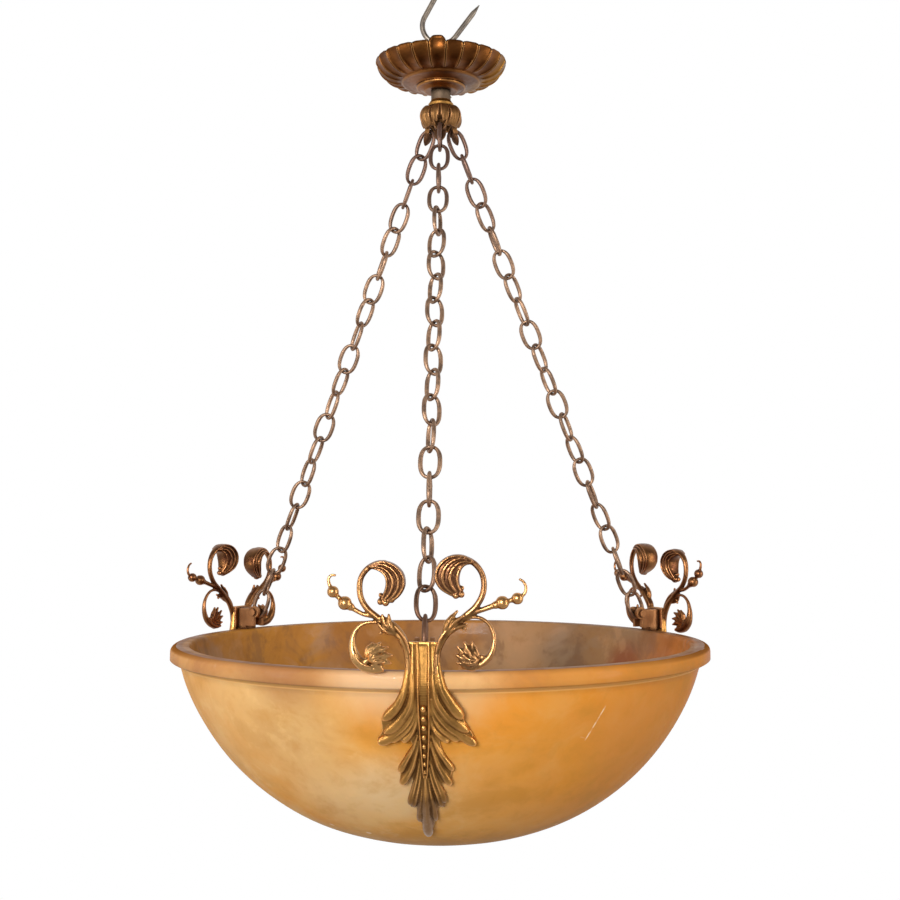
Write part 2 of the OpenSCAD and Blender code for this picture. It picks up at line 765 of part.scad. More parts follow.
// Rivets through saddle, arms and stem, their round heads behind the saddle
module stem_rivets() color("goldenrod") {
  base_in = saddle_back_r - 9;
  for (dir = chain_dirs)
    facing(dir)
      for (h = rivet_heights)
        translate([0, -base_in + 0.05, rim_z + h])
          rotate([90, 0, 0]) {
            cylinder(h = stand_r + leaf_t - base_in, r = rivet_r);
            translate([0, 0, -1.2]) cylinder(h = 1.2, r1 = 1.8, r2 = 2.6);
          }
}

module leaf_screws() color("goldenrod") {
  for (dir = chain_dirs)
    screw_axes(dir)
      translate([0, 0, -seat - washer_t - tab_t]) {
        cylinder(h = seat + washer_t + tab_t + 1.5, r = screw_r);
        translate([0, 0, -screw_head_h])
          difference() {
            cylinder(h = screw_head_h, r1 = screw_head_r * 0.7, r2 = screw_head_r);
            translate([-screw_head_r - 1, -0.5, -1]) cube([2 * screw_head_r + 2, 1, 2]);
          }
      }
}

module screw_washers() color("black") {
  for (dir = chain_dirs)
    screw_axes(dir)
      translate([0, 0, -seat - washer_t])
        difference() {
          cylinder(h = washer_t, r = washer_r);
          translate([0, 0, -1]) cylinder(h = washer_t + 2, r = screw_r + 0.2);
        }
}

// Lamp plate: a disc with three ears, and three flat arms bent up to the leaf screws
module lamp_spider() color("lightgray") {
  tab_in = seat + washer_t + tab_t;
  tab_c = body_point(screw_depth, -tab_in + tab_t / 2) - tab_drop * [sin(screw_tilt), cos(screw_tilt)];
  run = [tab_c[0], tab_c[1] + plate_depth];
  difference() {
    union() {
      translate([0, 0, plate_z]) cylinder(h = plate_t, d = plate_d);
      for (dir = chain_dirs) {
        facing(dir)
          translate([-arm_w / 2, 0, plate_z + plate_t / 2])
            rotate([-atan2(run[1] - plate_t / 2, run[0]), 0, 0])
              translate([0, -norm(run), -tab_t / 2])
                cube([arm_w, norm(run) - 7, tab_t]);
        screw_axes(dir) translate([0, 0, -tab_in]) cylinder(h = tab_t, r = tab_r);
        screw_axes(dir)
          translate([-arm_w / 2 - 1, -tab_drop - 2, -tab_in])
            cube([arm_w + 2, tab_drop + 2, tab_t]);
      }
      for (dir = lamp_dirs)
        rotate([0, 0, dir])
          translate([holder_back_r - ear_t, -9, plate_z - ear_drop])
            cube([ear_t, 18, ear_drop + plate_t]);
    }
    translate([0, 0, plate_z - 1]) cylinder(h = plate_t + 2, r = 5);
    for (dir = chain_dirs)
      screw_axes(dir)
        translate([0, 0, -tab_in - 1])
          cylinder(h = tab_t + 2, r = screw_r + 0.2);
    for (dir = lamp_dirs) lamp_axes(dir) translate([0, 0, -6]) cylinder(h = 10, r = 4);
  }
}

module lampholders() color("whitesmoke") {
  for (dir = lamp_dirs)
    lamp_axes(dir) {
      difference() {
        union() {
          cylinder(h = holder_len, d = holder_d - 3);
          translate([0, 0, holder_len - 9]) cylinder(h = 9, d = holder_d);
        }
        translate([0, 0, holder_len - cap_len - 3]) cylinder(h = cap_len + 4, r = cap_r + clear);
      }
      translate([0, 0, -ear_t - 2]) cylinder(h = ear_t + 2.5, r = 3.8);
    }
}

// A candle bulb: a screw cap in the holder and a pointed glass
module bulb(dir) color("lightyellow") {
  glass = holder_len + 1;
  lamp_axes(dir)
    rotate_extrude()
      polygon([
        [0, holder_len - cap_len - 2], [3, holder_len - cap_len - 2],
        [cap_r, holder_len - cap_len + 2], [cap_r, glass], [cap_r + 1.5, glass + 3],
        [bulb_d * 0.34, glass + bulb_len * 0.12], [bulb_d * 0.46, glass + bulb_len * 0.24],
        [bulb_d / 2, glass + bulb_len * 0.38], [bulb_d * 0.47, glass + bulb_len * 0.54],
        [bulb_d * 0.38, glass + bulb_len * 0.7], [bulb_d * 0.25, glass + bulb_len * 0.84],
        [bulb_d * 0.12, glass + bulb_len * 0.94], [1.2, glass + bulb_len], [0, glass + bulb_len]
      ]);
}

module bulb_a() { bulb(lamp_dirs[0]); }
module bulb_b() { bulb(lamp_dirs[1]); }
module bulb_c() { bulb(lamp_dirs[2]); }

s_hook();
suspension_loop();
loop_nut();
stem_tube();
canopy();
canopy_collar();
collar_screw();
hub_bead();
chain_hub();
hub_nut();
chain_a();
chain_b();
chain_c();
bowl();
leaf_a();
leaf_b();
leaf_c();
scrolls_a();
scrolls_b();
scrolls_c();
rim_saddles();
chain_pins();
stem_rivets();
leaf_screws();
screw_washers();
lamp_spider();
lampholders();
bulb_a();
bulb_b();
bulb_c();
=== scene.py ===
"""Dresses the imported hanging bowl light: stone, castings, chains, rose, hub, lamps and the stage."""

import math

import bmesh
import bpy
import numpy as np
from bpy.props import FloatProperty, FloatVectorProperty, IntProperty, PointerProperty
from mathutils import Euler, Matrix, Vector


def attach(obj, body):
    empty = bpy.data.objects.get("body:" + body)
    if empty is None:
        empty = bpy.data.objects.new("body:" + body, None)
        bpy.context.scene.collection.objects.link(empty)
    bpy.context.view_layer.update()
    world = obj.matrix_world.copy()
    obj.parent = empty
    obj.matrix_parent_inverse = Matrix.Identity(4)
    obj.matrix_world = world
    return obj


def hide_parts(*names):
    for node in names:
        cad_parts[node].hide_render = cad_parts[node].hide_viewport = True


bl_info = {
    "name": "Hanging Bowl Light",
    "version": (1, 0, 0),
    "blender": (4, 5, 0),
    "location": "View3D > Sidebar > Bowl Light",
    "description": "Builds the visible pieces of a stone bowl light hung on chains",
    "category": "Object",
}

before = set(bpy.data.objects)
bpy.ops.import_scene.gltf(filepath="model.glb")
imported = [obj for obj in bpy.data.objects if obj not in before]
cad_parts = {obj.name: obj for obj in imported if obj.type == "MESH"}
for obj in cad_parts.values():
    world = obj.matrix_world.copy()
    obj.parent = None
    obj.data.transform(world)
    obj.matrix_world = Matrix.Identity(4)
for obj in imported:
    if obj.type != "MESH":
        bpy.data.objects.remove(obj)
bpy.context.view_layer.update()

MM = 0.001

# The lamp's main measures, in millimetres, as the solids have them
RIM_Z = -605.0
LIP_R, LIP_H = 225.0, 12.0
BODY_R, BOWL_H, BOWL_WALL = 218.9, 160.5, 9.0
# A leaf's back stands off the lip at STAND_R down to STAND_LOW and lands on the stone at LAND_DEPTH
STAND_R, STAND_LOW, LAND_DEPTH = 225.3, 14.0, 56.0
CLAW_R, CLAW_Z = 11.8, -165.6
CHAIN_LINKS, LINK_PITCH = 21, 22.26
CHAIN_LEAN = math.radians(24.42)
ROSE_R, ROSE_Z, ROSE_BASE = 57.0, -105.5, -131.0
HOLDER_R, HOLDER_Z = 23.5, -706.0

# Directions from the stem, in degrees
FRONT = -90
CHAIN_DIRS = {"front": FRONT, "right": 30, "left": 150}
BRACKETS = {"a": FRONT, "b": 30, "c": 150}
LAMP_DIRS = {"front": -30, "back": 90, "left": 210}

# The front chain's slow twist as (link, degrees), and the side chains' twist from link to link
FRONT_TWIST = [(1, 0), (4, 0), (7, 50), (13, 50), (15, 90), (17, 90), (19, 130), (21, 180)]
SIDE_TWIST = 27


# Settings


def colour(name, about, value):
    return FloatVectorProperty(
        name=name, description=about, default=value, subtype="COLOR", size=3, min=0, max=1
    )


def distance(name, about, value, low, high):
    return FloatProperty(
        name=name, description=about, default=value, subtype="DISTANCE", min=low, max=high
    )


class StoneSettings(bpy.types.PropertyGroup):
    """The bowl's stone"""

    honey: colour("Honey", "Main colour of the stone", (0.72, 0.305, 0.042))
    cream: colour("Cream", "Pale clouds in the stone", (0.74, 0.44, 0.165))
    amber: colour("Amber", "Deep patches in the stone", (0.62, 0.200, 0.010))
    # The inside colour is partly painted shade: darkened for the shade inside the bowl as well as for the
    # unpolished stone
    inside: colour("Inside", "The stone's unpolished inner face", (0.36, 0.137, 0.026))
    smoke: colour("Smoke", "Grey patches on the inner face", (0.22, 0.145, 0.085))
    cloud_scale: FloatProperty(
        name="Cloud scale", description="Density of the clouds", default=5.5, min=1, max=30
    )
    carve: distance("Hand finish", "Unevenness of the turned surface", 0.00025, 0, 0.002)


class MetalSettings(bpy.types.PropertyGroup):
    """Finishes of the cast and drawn metal"""

    gilt: colour("Gilt", "Worn gold of the front castings", (0.55, 0.270, 0.070))
    bronze: colour("Bronze", "Brown bronze of scrolls and hub", (0.34, 0.165, 0.058))
    patina: colour("Patina", "Dark tone in the recesses", (0.055, 0.022, 0.009))
    copper: colour("Copper", "The rose's copper bronze", (0.160, 0.052, 0.012))
    chain: colour("Chain", "Drawn wire of the chains", (0.36, 0.225, 0.15))
    steel: colour("Hook steel", "Dull wire of the hook", (0.27, 0.225, 0.185))
    voxel: distance("Casting detail", "Grid on which castings are fused", 0.00055, 0.0003, 0.002)


class ShapeSettings(bpy.types.PropertyGroup):
    """Sizes of what the scene shapes itself"""

    link_wire: distance("Link wire", "Diameter of a link's wire at its ends", 0.0028, 0.002, 0.0032)
    link_swell: FloatProperty(
        name="Link swell", description="How much thicker a link's sides are", default=1.28, min=1, max=1.3
    )
    link_width: distance("Link width", "Width over a link's wire centres", 0.0146, 0.012, 0.018)
    flutes: IntProperty(name="Flutes", description="Petals round the rose", default=24, min=8, max=40)
    bead: distance("Bead", "Radius of the leaf's beads", 0.0019, 0.001, 0.003)


def stone():
    return bpy.context.scene.bowl_light_stone


def metal():
    return bpy.context.scene.bowl_light_metal


def shape():
    return bpy.context.scene.bowl_light_shape


# Mesh tools


def placed(name, data):
    """A new object in the scene, at the origin"""
    ob = bpy.data.objects.new(name, data)
    bpy.context.scene.collection.objects.link(ob)
    return ob


def drop(ob):
    me = ob.data
    bpy.data.objects.remove(ob)
    if me.users == 0:
        bpy.data.meshes.remove(me)


def shade_smooth(me):
    me.polygons.foreach_set("use_smooth", [True] * len(me.polygons))


def mesh_object(name, verts, faces, smooth=True):
    """An object at the origin from points in millimetres"""
    me = bpy.data.meshes.new(name)
    points = [tuple(float(c) * MM for c in v) for v in verts]
    me.from_pydata(points, [], [tuple(int(i) for i in f) for f in faces])
    me.validate()
    if smooth:
        shade_smooth(me)
    return placed(name, me)


def outwards(ob):
    """Turns a closed mesh's faces outwards"""
    bm = bmesh.new()
    bm.from_mesh(ob.data)
    bmesh.ops.recalc_face_normals(bm, faces=bm.faces)
    bm.to_mesh(ob.data)
    bm.free()


def round_angles(count):
    return [2 * math.pi * k / count for k in range(count)]


def ring(r, z, count):
    """Points of a level circle round the vertical axis"""
    return [(r * math.cos(a), r * math.sin(a), z) for a in round_angles(count)]


class Shell:
    """Collects closed shapes as points and faces, in millimetres"""

    def __init__(self):
        self.verts = []
        self.faces = []

    def add(self, verts, faces):
        base = len(self.verts)
        self.verts += [tuple(v) for v in verts]
        self.faces += [tuple(i + base for i in f) for f in faces]

    def rings(self, rings, close_path=False):
        """Skins rings of equal size; an open path's ends are closed with a fan"""
        n, m = len(rings[0]), len(rings)
        verts = [p for points in rings for p in points]
        faces = []
        for i in range(m if close_path else m - 1):
            j = (i + 1) % m
            for k in range(n):
                k2 = (k + 1) % n
                faces.append((i * n + k, j * n + k, j * n + k2, i * n + k2))
        if not close_path:
            for i, flip in ((0, False), (m - 1, True)):
                c = len(verts)
                verts.append(tuple(sum(p[axis] for p in rings[i]) / n for axis in range(3)))
                for k in range(n):
                    a, b = i * n + k, i * n + (k + 1) % n
                    faces.append((c, b, a) if flip else (c, a, b))
        self.add(verts, faces)

    def ball(self, centre, r, squash=(1, 1, 1), steps=10):
        rings = []
        for i in range(1, steps):
            a = math.pi * i / steps
            level = []
            for b in round_angles(2 * steps):
                way = (math.sin(a) * math.cos(b), math.sin(a) * math.sin(b), math.cos(a))
                level.append(tuple(c + r * s * w for c, s, w in zip(centre, squash, way)))
            rings.append(level)
        self.rings(rings)

    def sweep(self, path, ups, wide, high, sides=14):
        """An oval section along a path: wide across, high along the up directions"""
        rings = []
        last = len(path) - 1
        for i, p in enumerate(path):
            t = (Vector(path[min(last, i + 1)]) - Vector(path[max(0, i - 1)])).normalized()
            up = Vector(ups[i] if isinstance(ups[0], (tuple, list, Vector)) else ups)
            up = (up - t * up.dot(t)).normalized()
            side = t.cross(up)
            oval = []
            for c in round_angles(sides):
                oval.append(tuple(Vector(p) + side * wide[i] * math.cos(c) + up * high[i] * math.sin(c)))
            rings.append(oval)
        self.rings(rings)

    def object(self, name):
        ob = mesh_object(name, self.verts, self.faces)
        outwards(ob)
        return ob


def evenly(dense, count, closed=False):
    """Points spread evenly along a dense run of points"""
    dense = np.array(dense)
    run = np.concatenate([[0], np.cumsum(np.linalg.norm(np.diff(dense, axis=0), axis=1))])
    at = np.linspace(0, run[-1], count, endpoint=not closed)
    return np.stack([np.interp(at, run, column) for column in dense.T], 1)


def spline(points, count):
    """Points evenly spread on a smooth curve through the given ones"""
    pts = [np.array(p, float) for p in points]
    ext = [2 * pts[0] - pts[1]] + pts + [2 * pts[-1] - pts[-2]]
    dense = []
    for i in range(1, len(ext) - 2):
        p0, p1, p2, p3 = ext[i - 1 : i + 3]
        square, cube = 2 * p0 - 5 * p1 + 4 * p2 - p3, 3 * p1 - p0 - 3 * p2 + p3
        for t in np.linspace(0, 1, 12, endpoint=False):
            dense.append(0.5 * (2 * p1 + (p2 - p0) * t + square * t * t + cube * t**3))
    dense.append(pts[-1])
    return evenly(dense, count)


def settled(ob):
    """Turns an object with modifiers into a plain mesh at the origin"""
    deps = bpy.context.evaluated_depsgraph_get()
    me = bpy.data.meshes.new_from_object(ob.evaluated_get(deps), depsgraph=deps)
    ob.modifiers.clear()
    old = ob.data
    ob.data = me
    if old.users == 0:
        bpy.data.meshes.remove(old)
    return ob


def fused(ob, voxel):
    """Fuses overlapping shapes into one casting and softens it"""
    fuse = ob.modifiers.new("fuse", "REMESH")
    fuse.mode = "VOXEL"
    fuse.voxel_size = voxel
    soften = ob.modifiers.new("soften", "SMOOTH")
    soften.factor = 0.5
    soften.iterations = 2
    settled(ob)
    shade_smooth(ob.data)
    return ob


def joined(ob, extra):
    """Adds the second object's mesh to the first and drops the second"""
    bm = bmesh.new()
    bm.from_mesh(ob.data)
    bm.from_mesh(extra.data)
    bm.to_mesh(ob.data)
    bm.free()
    drop(extra)


def moved_copy(ob, name, move):
    """A copy whose mesh is moved, so that the object itself stays at the origin"""
    me = ob.data.copy()
    me.transform(move)
    return placed(name, me)


def on_brackets(front, name):
    """The front bracket's piece, then its copies on the other brackets, each with its bracket's letter"""
    for key, direction in BRACKETS.items():
        turn = Matrix.Rotation(math.radians(direction - FRONT), 4, "Z")
        yield key, front if direction == FRONT else moved_copy(front, name + key, turn)


def dress(ob, mat):
    ob.data.materials.clear()
    ob.data.materials.append(mat)


def piece(ob, body, slot_name, nodes=()):
    """States which solids a piece replaces and the body it rides on; slot_name, its finish's slot, is not
    used
    """
    if nodes:
        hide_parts(*nodes)
    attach(ob, body)


# Geometry node trees


def node_tree(name, *inputs):
    """A tree with a geometry input and output and further inputs of (label, kind, default)"""
    tree = bpy.data.node_groups.new(name, "GeometryNodeTree")
    tree.interface.new_socket("Geometry", in_out="INPUT", socket_type="NodeSocketGeometry")
    for label, kind, value in inputs:
        socket = tree.interface.new_socket(label, in_out="INPUT", socket_type="NodeSocket" + kind)
        if value is not None:
            socket.default_value = value
    tree.interface.new_socket("Geometry", in_out="OUTPUT", socket_type="NodeSocketGeometry")
    return tree, tree.nodes.new("NodeGroupInput"), tree.nodes.new("NodeGroupOutput")


def set_inputs(modifier, **values):
    """Sets a modifier's inputs by their socket identifiers"""
    for item in modifier.node_group.interface.items_tree:
        key = item.name.lower().replace(" ", "_")
        if item.item_type == "SOCKET" and item.in_out == "INPUT" and key in values:
            modifier[item.identifier] = values[key]


def point_attribute(nodes, name, kind):
    read = nodes.new("GeometryNodeInputNamedAttribute")
    read.data_type = kind
    read.inputs["Name"].default_value = name
    return read.outputs["Attribute"]


def copies_on_points():
    """Puts a piece on every point, turned by the point's own 'turn' and scaled by its 'size'"""
    tree, gin, gout = node_tree(
        "Pieces on points", ("Piece", "Object", None), ("Scale", "Float", 1.0), ("Material", "Material", None)
    )
    nodes, link = tree.nodes, tree.links.new
    info = nodes.new("GeometryNodeObjectInfo")
    put = nodes.new("GeometryNodeInstanceOnPoints")
    euler = nodes.new("FunctionNodeEulerToRotation")
    times = nodes.new("ShaderNodeMath")
    times.operation = "MULTIPLY"
    real = nodes.new("GeometryNodeRealizeInstances")
    soft = nodes.new("GeometryNodeSetShadeSmooth")
    mat = nodes.new("GeometryNodeSetMaterial")
    link(gin.outputs["Piece"], info.inputs["Object"])
    link(gin.outputs["Geometry"], put.inputs["Points"])
    link(info.outputs["Geometry"], put.inputs["Instance"])
    link(point_attribute(nodes, "turn", "FLOAT_VECTOR"), euler.inputs["Euler"])
    link(euler.outputs["Rotation"], put.inputs["Rotation"])
    link(point_attribute(nodes, "size", "FLOAT"), times.inputs[0])
    link(gin.outputs["Scale"], times.inputs[1])
    link(times.outputs[0], put.inputs["Scale"])
    link(put.outputs["Instances"], real.inputs["Geometry"])
    link(real.outputs["Geometry"], soft.inputs["Geometry"])
    link(soft.outputs["Geometry"], mat.inputs["Geometry"])
    link(gin.outputs["Material"], mat.inputs["Material"])
    link(mat.outputs["Geometry"], gout.inputs["Geometry"])
    return tree


def repeat_round():
    """Repeats the object's own sector round the vertical axis and welds the seams"""
    tree, gin, gout = node_tree(
        "Sectors round the stem",
        ("Count", "Int", 24), ("Start", "Float", 0.0), ("Weld", "Float", 1e-5),
        ("Material", "Material", None),
    )
    nodes, link = tree.nodes, tree.links.new
    points = nodes.new("GeometryNodePoints")
    index = nodes.new("GeometryNodeInputIndex")
    step = nodes.new("ShaderNodeMath")
    step.operation = "DIVIDE"
    step.inputs[0].default_value = 2 * math.pi
    angle = nodes.new("ShaderNodeMath")
    angle.operation = "MULTIPLY_ADD"
    upright = nodes.new("ShaderNodeCombineXYZ")
    euler = nodes.new("FunctionNodeEulerToRotation")
    put = nodes.new("GeometryNodeInstanceOnPoints")
    real = nodes.new("GeometryNodeRealizeInstances")
    weld = nodes.new("GeometryNodeMergeByDistance")
    mat = nodes.new("GeometryNodeSetMaterial")
    link(gin.outputs["Count"], points.inputs["Count"])
    link(gin.outputs["Count"], step.inputs[1])
    link(index.outputs[0], angle.inputs[0])
    link(step.outputs[0], angle.inputs[1])
    link(gin.outputs["Start"], angle.inputs[2])
    link(angle.outputs[0], upright.inputs["Z"])
    link(upright.outputs[0], euler.inputs["Euler"])
    link(points.outputs[0], put.inputs["Points"])
    link(gin.outputs["Geometry"], put.inputs["Instance"])
    link(euler.outputs["Rotation"], put.inputs["Rotation"])
    link(put.outputs["Instances"], real.inputs["Geometry"])
    link(real.outputs["Geometry"], weld.inputs["Geometry"])
    link(gin.outputs["Weld"], weld.inputs["Distance"])
    link(weld.outputs["Geometry"], mat.inputs["Geometry"])
    link(gin.outputs["Material"], mat.inputs["Material"])
    link(mat.outputs["Geometry"], gout.inputs["Geometry"])
    return tree


TREES = {}


def shaped_by(ob, maker, **values):
    """Runs an object through a node tree, which is made once, and keeps the result as a plain mesh"""
    if maker.__name__ not in TREES:
        TREES[maker.__name__] = maker()
    modifier = ob.modifiers.new("nodes", "NODES")
    modifier.node_group = TREES[maker.__name__]
    set_inputs(modifier, **values)
    return settled(ob)


def on_points(name, spots, source, mat, scale=1.0):
    """spots: (place in millimetres, (turn x, y, z) in radians, size)"""
    ob = mesh_object(name, [place for place, turn, size in spots], [])
    turns = ob.data.attributes.new("turn", "FLOAT_VECTOR", "POINT")
    turns.data.foreach_set("vector", [angle for place, turn, size in spots for angle in turn])
    sizes = ob.data.attributes.new("size", "FLOAT", "POINT")
    sizes.data.foreach_set("value", [size for place, turn, size in spots])
    shaped_by(ob, copies_on_points, piece=source, scale=scale, material=mat)
    for extra in ("turn", "size"):
        attribute = ob.data.attributes.get(extra)
        if attribute:
            ob.data.attributes.remove(attribute)
    return ob


# Materials

# The mix node's colour sockets, which share their names with its number sockets
MIX_A, MIX_B, MIX_RESULT = 6, 7, 2


class Finish:
    """Small builder for a node material on the piece's own coordinates, in metres"""

    def __init__(self, name):
        self.mat = bpy.data.materials.new(name)
        self.mat.use_nodes = True
        self.nodes = self.mat.node_tree.nodes
        self.link = self.mat.node_tree.links.new
        self.bsdf = self.nodes["Principled BSDF"]
        self.place = self.nodes.new("ShaderNodeTexCoord").outputs["Object"]

    def feed(self, socket, value):
        """Links another node's output, or sets a number, a colour or a vector"""
        if isinstance(value, bpy.types.NodeSocket):
            self.link(value, socket)
        elif socket.type == "RGBA":
            socket.default_value = (value[0], value[1], value[2], 1)
        else:
            socket.default_value = value

    def node(self, kind, **inputs):
        """A new node; in the inputs' names an underscore stands for a space"""
        new = self.nodes.new(kind)
        for key, value in inputs.items():
            self.feed(new.inputs[key.replace("_", " ")], value)
        return new

    def axes(self):
        """The place's three parts"""
        return self.node("ShaderNodeSeparateXYZ", Vector=self.place).outputs

    def mapped(self, scale=(1, 1, 1), move=(0, 0, 0), turn=(0, 0, 0)):
        new = self.node("ShaderNodeMapping", Scale=scale, Location=move, Rotation=turn, Vector=self.place)
        return new.outputs[0]

    def noise(self, scale, detail=4.0, rough=0.5, warp=0.0, vector=None):
        new = self.node("ShaderNodeTexNoise", Scale=scale, Detail=detail, Roughness=rough, Distortion=warp)
        self.feed(new.inputs["Vector"], vector or self.place)
        return new.outputs["Fac"]

    def cells(self, scale, vector, feature="DISTANCE_TO_EDGE"):
        new = self.node("ShaderNodeTexVoronoi", Scale=scale, Vector=vector)
        new.feature = feature
        return new.outputs["Distance"]

    def band(self, value, low, high, a=0.0, b=1.0):
        """value from low..high to a..b, clamped and eased"""
        new = self.node("ShaderNodeMapRange", Value=value, From_Min=low, From_Max=high, To_Min=a, To_Max=b)
        new.interpolation_type = "SMOOTHSTEP"
        return new.outputs["Result"]

    def math(self, kind, a, b=0.0, of="ShaderNodeMath"):
        new = self.nodes.new(of)
        new.operation = kind
        self.feed(new.inputs[0], a)
        self.feed(new.inputs[1], b)
        return new.outputs["Value"]

    def product(self, first, *others):
        for other in others:
            first = self.math("MULTIPLY", first, other)
        return first

    def uneven(self, value, noise, reach):
        """A value pushed up and down by a noise"""
        return self.math("ADD", value, self.math("MULTIPLY", self.math("SUBTRACT", noise, 0.5), reach))

    def mix(self, amount, a, b):
        new = self.node("ShaderNodeMix")
        new.data_type = "RGBA"
        self.feed(new.inputs["Factor"], amount)
        self.feed(new.inputs[MIX_A], a)
        self.feed(new.inputs[MIX_B], b)
        return new.outputs[MIX_RESULT]

    def tint(self, base, mask, amount, tone):
        """Mixes a tone in where a mask is 1, by an amount"""
        return self.mix(self.math("MULTIPLY", mask, amount), base, tone)

    def blob(self, centre, radius, soft):
        """1 within a radius of a place in metres, easing to 0 over a distance"""
        away = self.math("DISTANCE", self.place, centre, "ShaderNodeVectorMath")
        return self.band(away, radius, radius + soft, 1, 0)

    def patch(self, base, centre, radius, soft, amount, tone):
        """Tints the surroundings of one place"""
        return self.tint(base, self.blob(centre, radius, soft), amount, tone)

    def stroke(self, start, end, width):
        """1 on a thin straight scratch seen from the front, both ends given as (x, z) in metres"""
        fade = 0.002
        length = math.dist(start, end)
        across, up = (end[0] - start[0]) / length, (end[1] - start[1]) / length
        place = self.mapped(move=(-start[0], 0, -start[1]))
        along = self.math("DOT_PRODUCT", place, (across, 0, up), "ShaderNodeVectorMath")
        off = self.math("ABSOLUTE", self.math("DOT_PRODUCT", place, (-up, 0, across), "ShaderNodeVectorMath"))
        return self.product(
            self.band(off, width * 0.4, width, 1, 0),
            self.band(along, 0.0, fade),
            self.band(along, length - fade, length, 1, 0),
            self.band(self.axes()["Y"], -0.02, 0.0, 1, 0),
        )

    def recess(self, reach, low=0.35, high=0.95):
        """1 in corners and grooves, 0 where the surface is open"""
        new = self.node("ShaderNodeAmbientOcclusion", Distance=reach)
        new.samples = 6
        return self.band(new.outputs["AO"], low, high, 1, 0)

    def edges(self, low=0.5, high=0.56):
        """1 on worn convex edges"""
        return self.band(self.node("ShaderNodeNewGeometry").outputs["Pointiness"], low, high)

    def bump(self, *layers):
        """layers: (height, strength, distance in metres)"""
        normal = None
        for height, strength, reach in layers:
            new = self.node("ShaderNodeBump", Strength=strength, Distance=reach, Height=height)
            if normal:
                self.link(normal, new.inputs["Normal"])
            normal = new.outputs["Normal"]
        self.link(normal, self.bsdf.inputs["Normal"])

    def set(self, **values):
        for key, value in values.items():
            self.feed(self.bsdf.inputs[key.replace("_", " ")], value)
        return self.mat


def darker(c, k):
    return (c[0] * k, c[1] * k, c[2] * k)


def stone_lip(f, base, mottle, x, y, z):
    """The lip: browner but for its middle, with painted shade on the rim's top toward the back and painted
    light under its edge
    """
    middle = f.math("MULTIPLY", f.blob((0.012, -0.225, -0.608), 0.015, 0.06), 0.75)
    off_middle = f.math("SUBTRACT", 1.0, middle)
    lip = f.product(f.band(z, -0.622, -0.616), f.band(x, 0.02, 0.16, 1.0, 0.25), off_middle)
    base = f.mix(f.product(lip, f.band(mottle, 0.35, 0.62, 0.55, 0.95)), base, (0.42, 0.185, 0.07))
    base = f.patch(base, (-0.105, -0.205, -0.600), 0.022, 0.030, 0.55, (0.34, 0.150, 0.060))
    base = f.patch(base, (-0.032, -0.226, -0.606), 0.012, 0.040, 0.75, (0.74, 0.49, 0.28))
    # Painted shade: the top of the rim is darkened, most toward the back
    top = f.product(f.band(z, -0.6085, -0.6062), f.band(y, -0.19, -0.08, 0.15, 1.0))
    base = f.mix(top, base, (0.30, 0.110, 0.024))
    # Painted light: the shaded underside of the lip is made paler
    under_lip_painted_light = f.product(f.band(z, -0.6211, -0.6200), f.band(z, -0.6178, -0.6166, 1.0, 0.0))
    base = f.tint(base, under_lip_painted_light, 0.56, (1.0, 0.56, 0.19))
    return base


def stone_marks(f, base):
    """Small chips, and a long scratch on the right"""
    chips = f.band(f.cells(60, f.mapped((1, 1, 0.6)), "F1"), 0.08, 0.17, 1, 0)
    base = f.tint(base, f.product(chips, f.band(f.noise(9, 2), 0.55, 0.62)), 0.6, (0.90, 0.72, 0.50))
    long_part = f.stroke((0.1274, -0.6335), (0.1119, -0.6600), 0.0006)
    hooked_end = f.stroke((0.1125, -0.6577), (0.1080, -0.6560), 0.0007)
    broken = f.band(f.noise(160, 3, 0.6), 0.38, 0.60, 0.15, 0.8)
    base = f.mix(f.product(f.math("MAXIMUM", long_part, hooked_end), broken), base, (0.88, 0.64, 0.40))
    return base


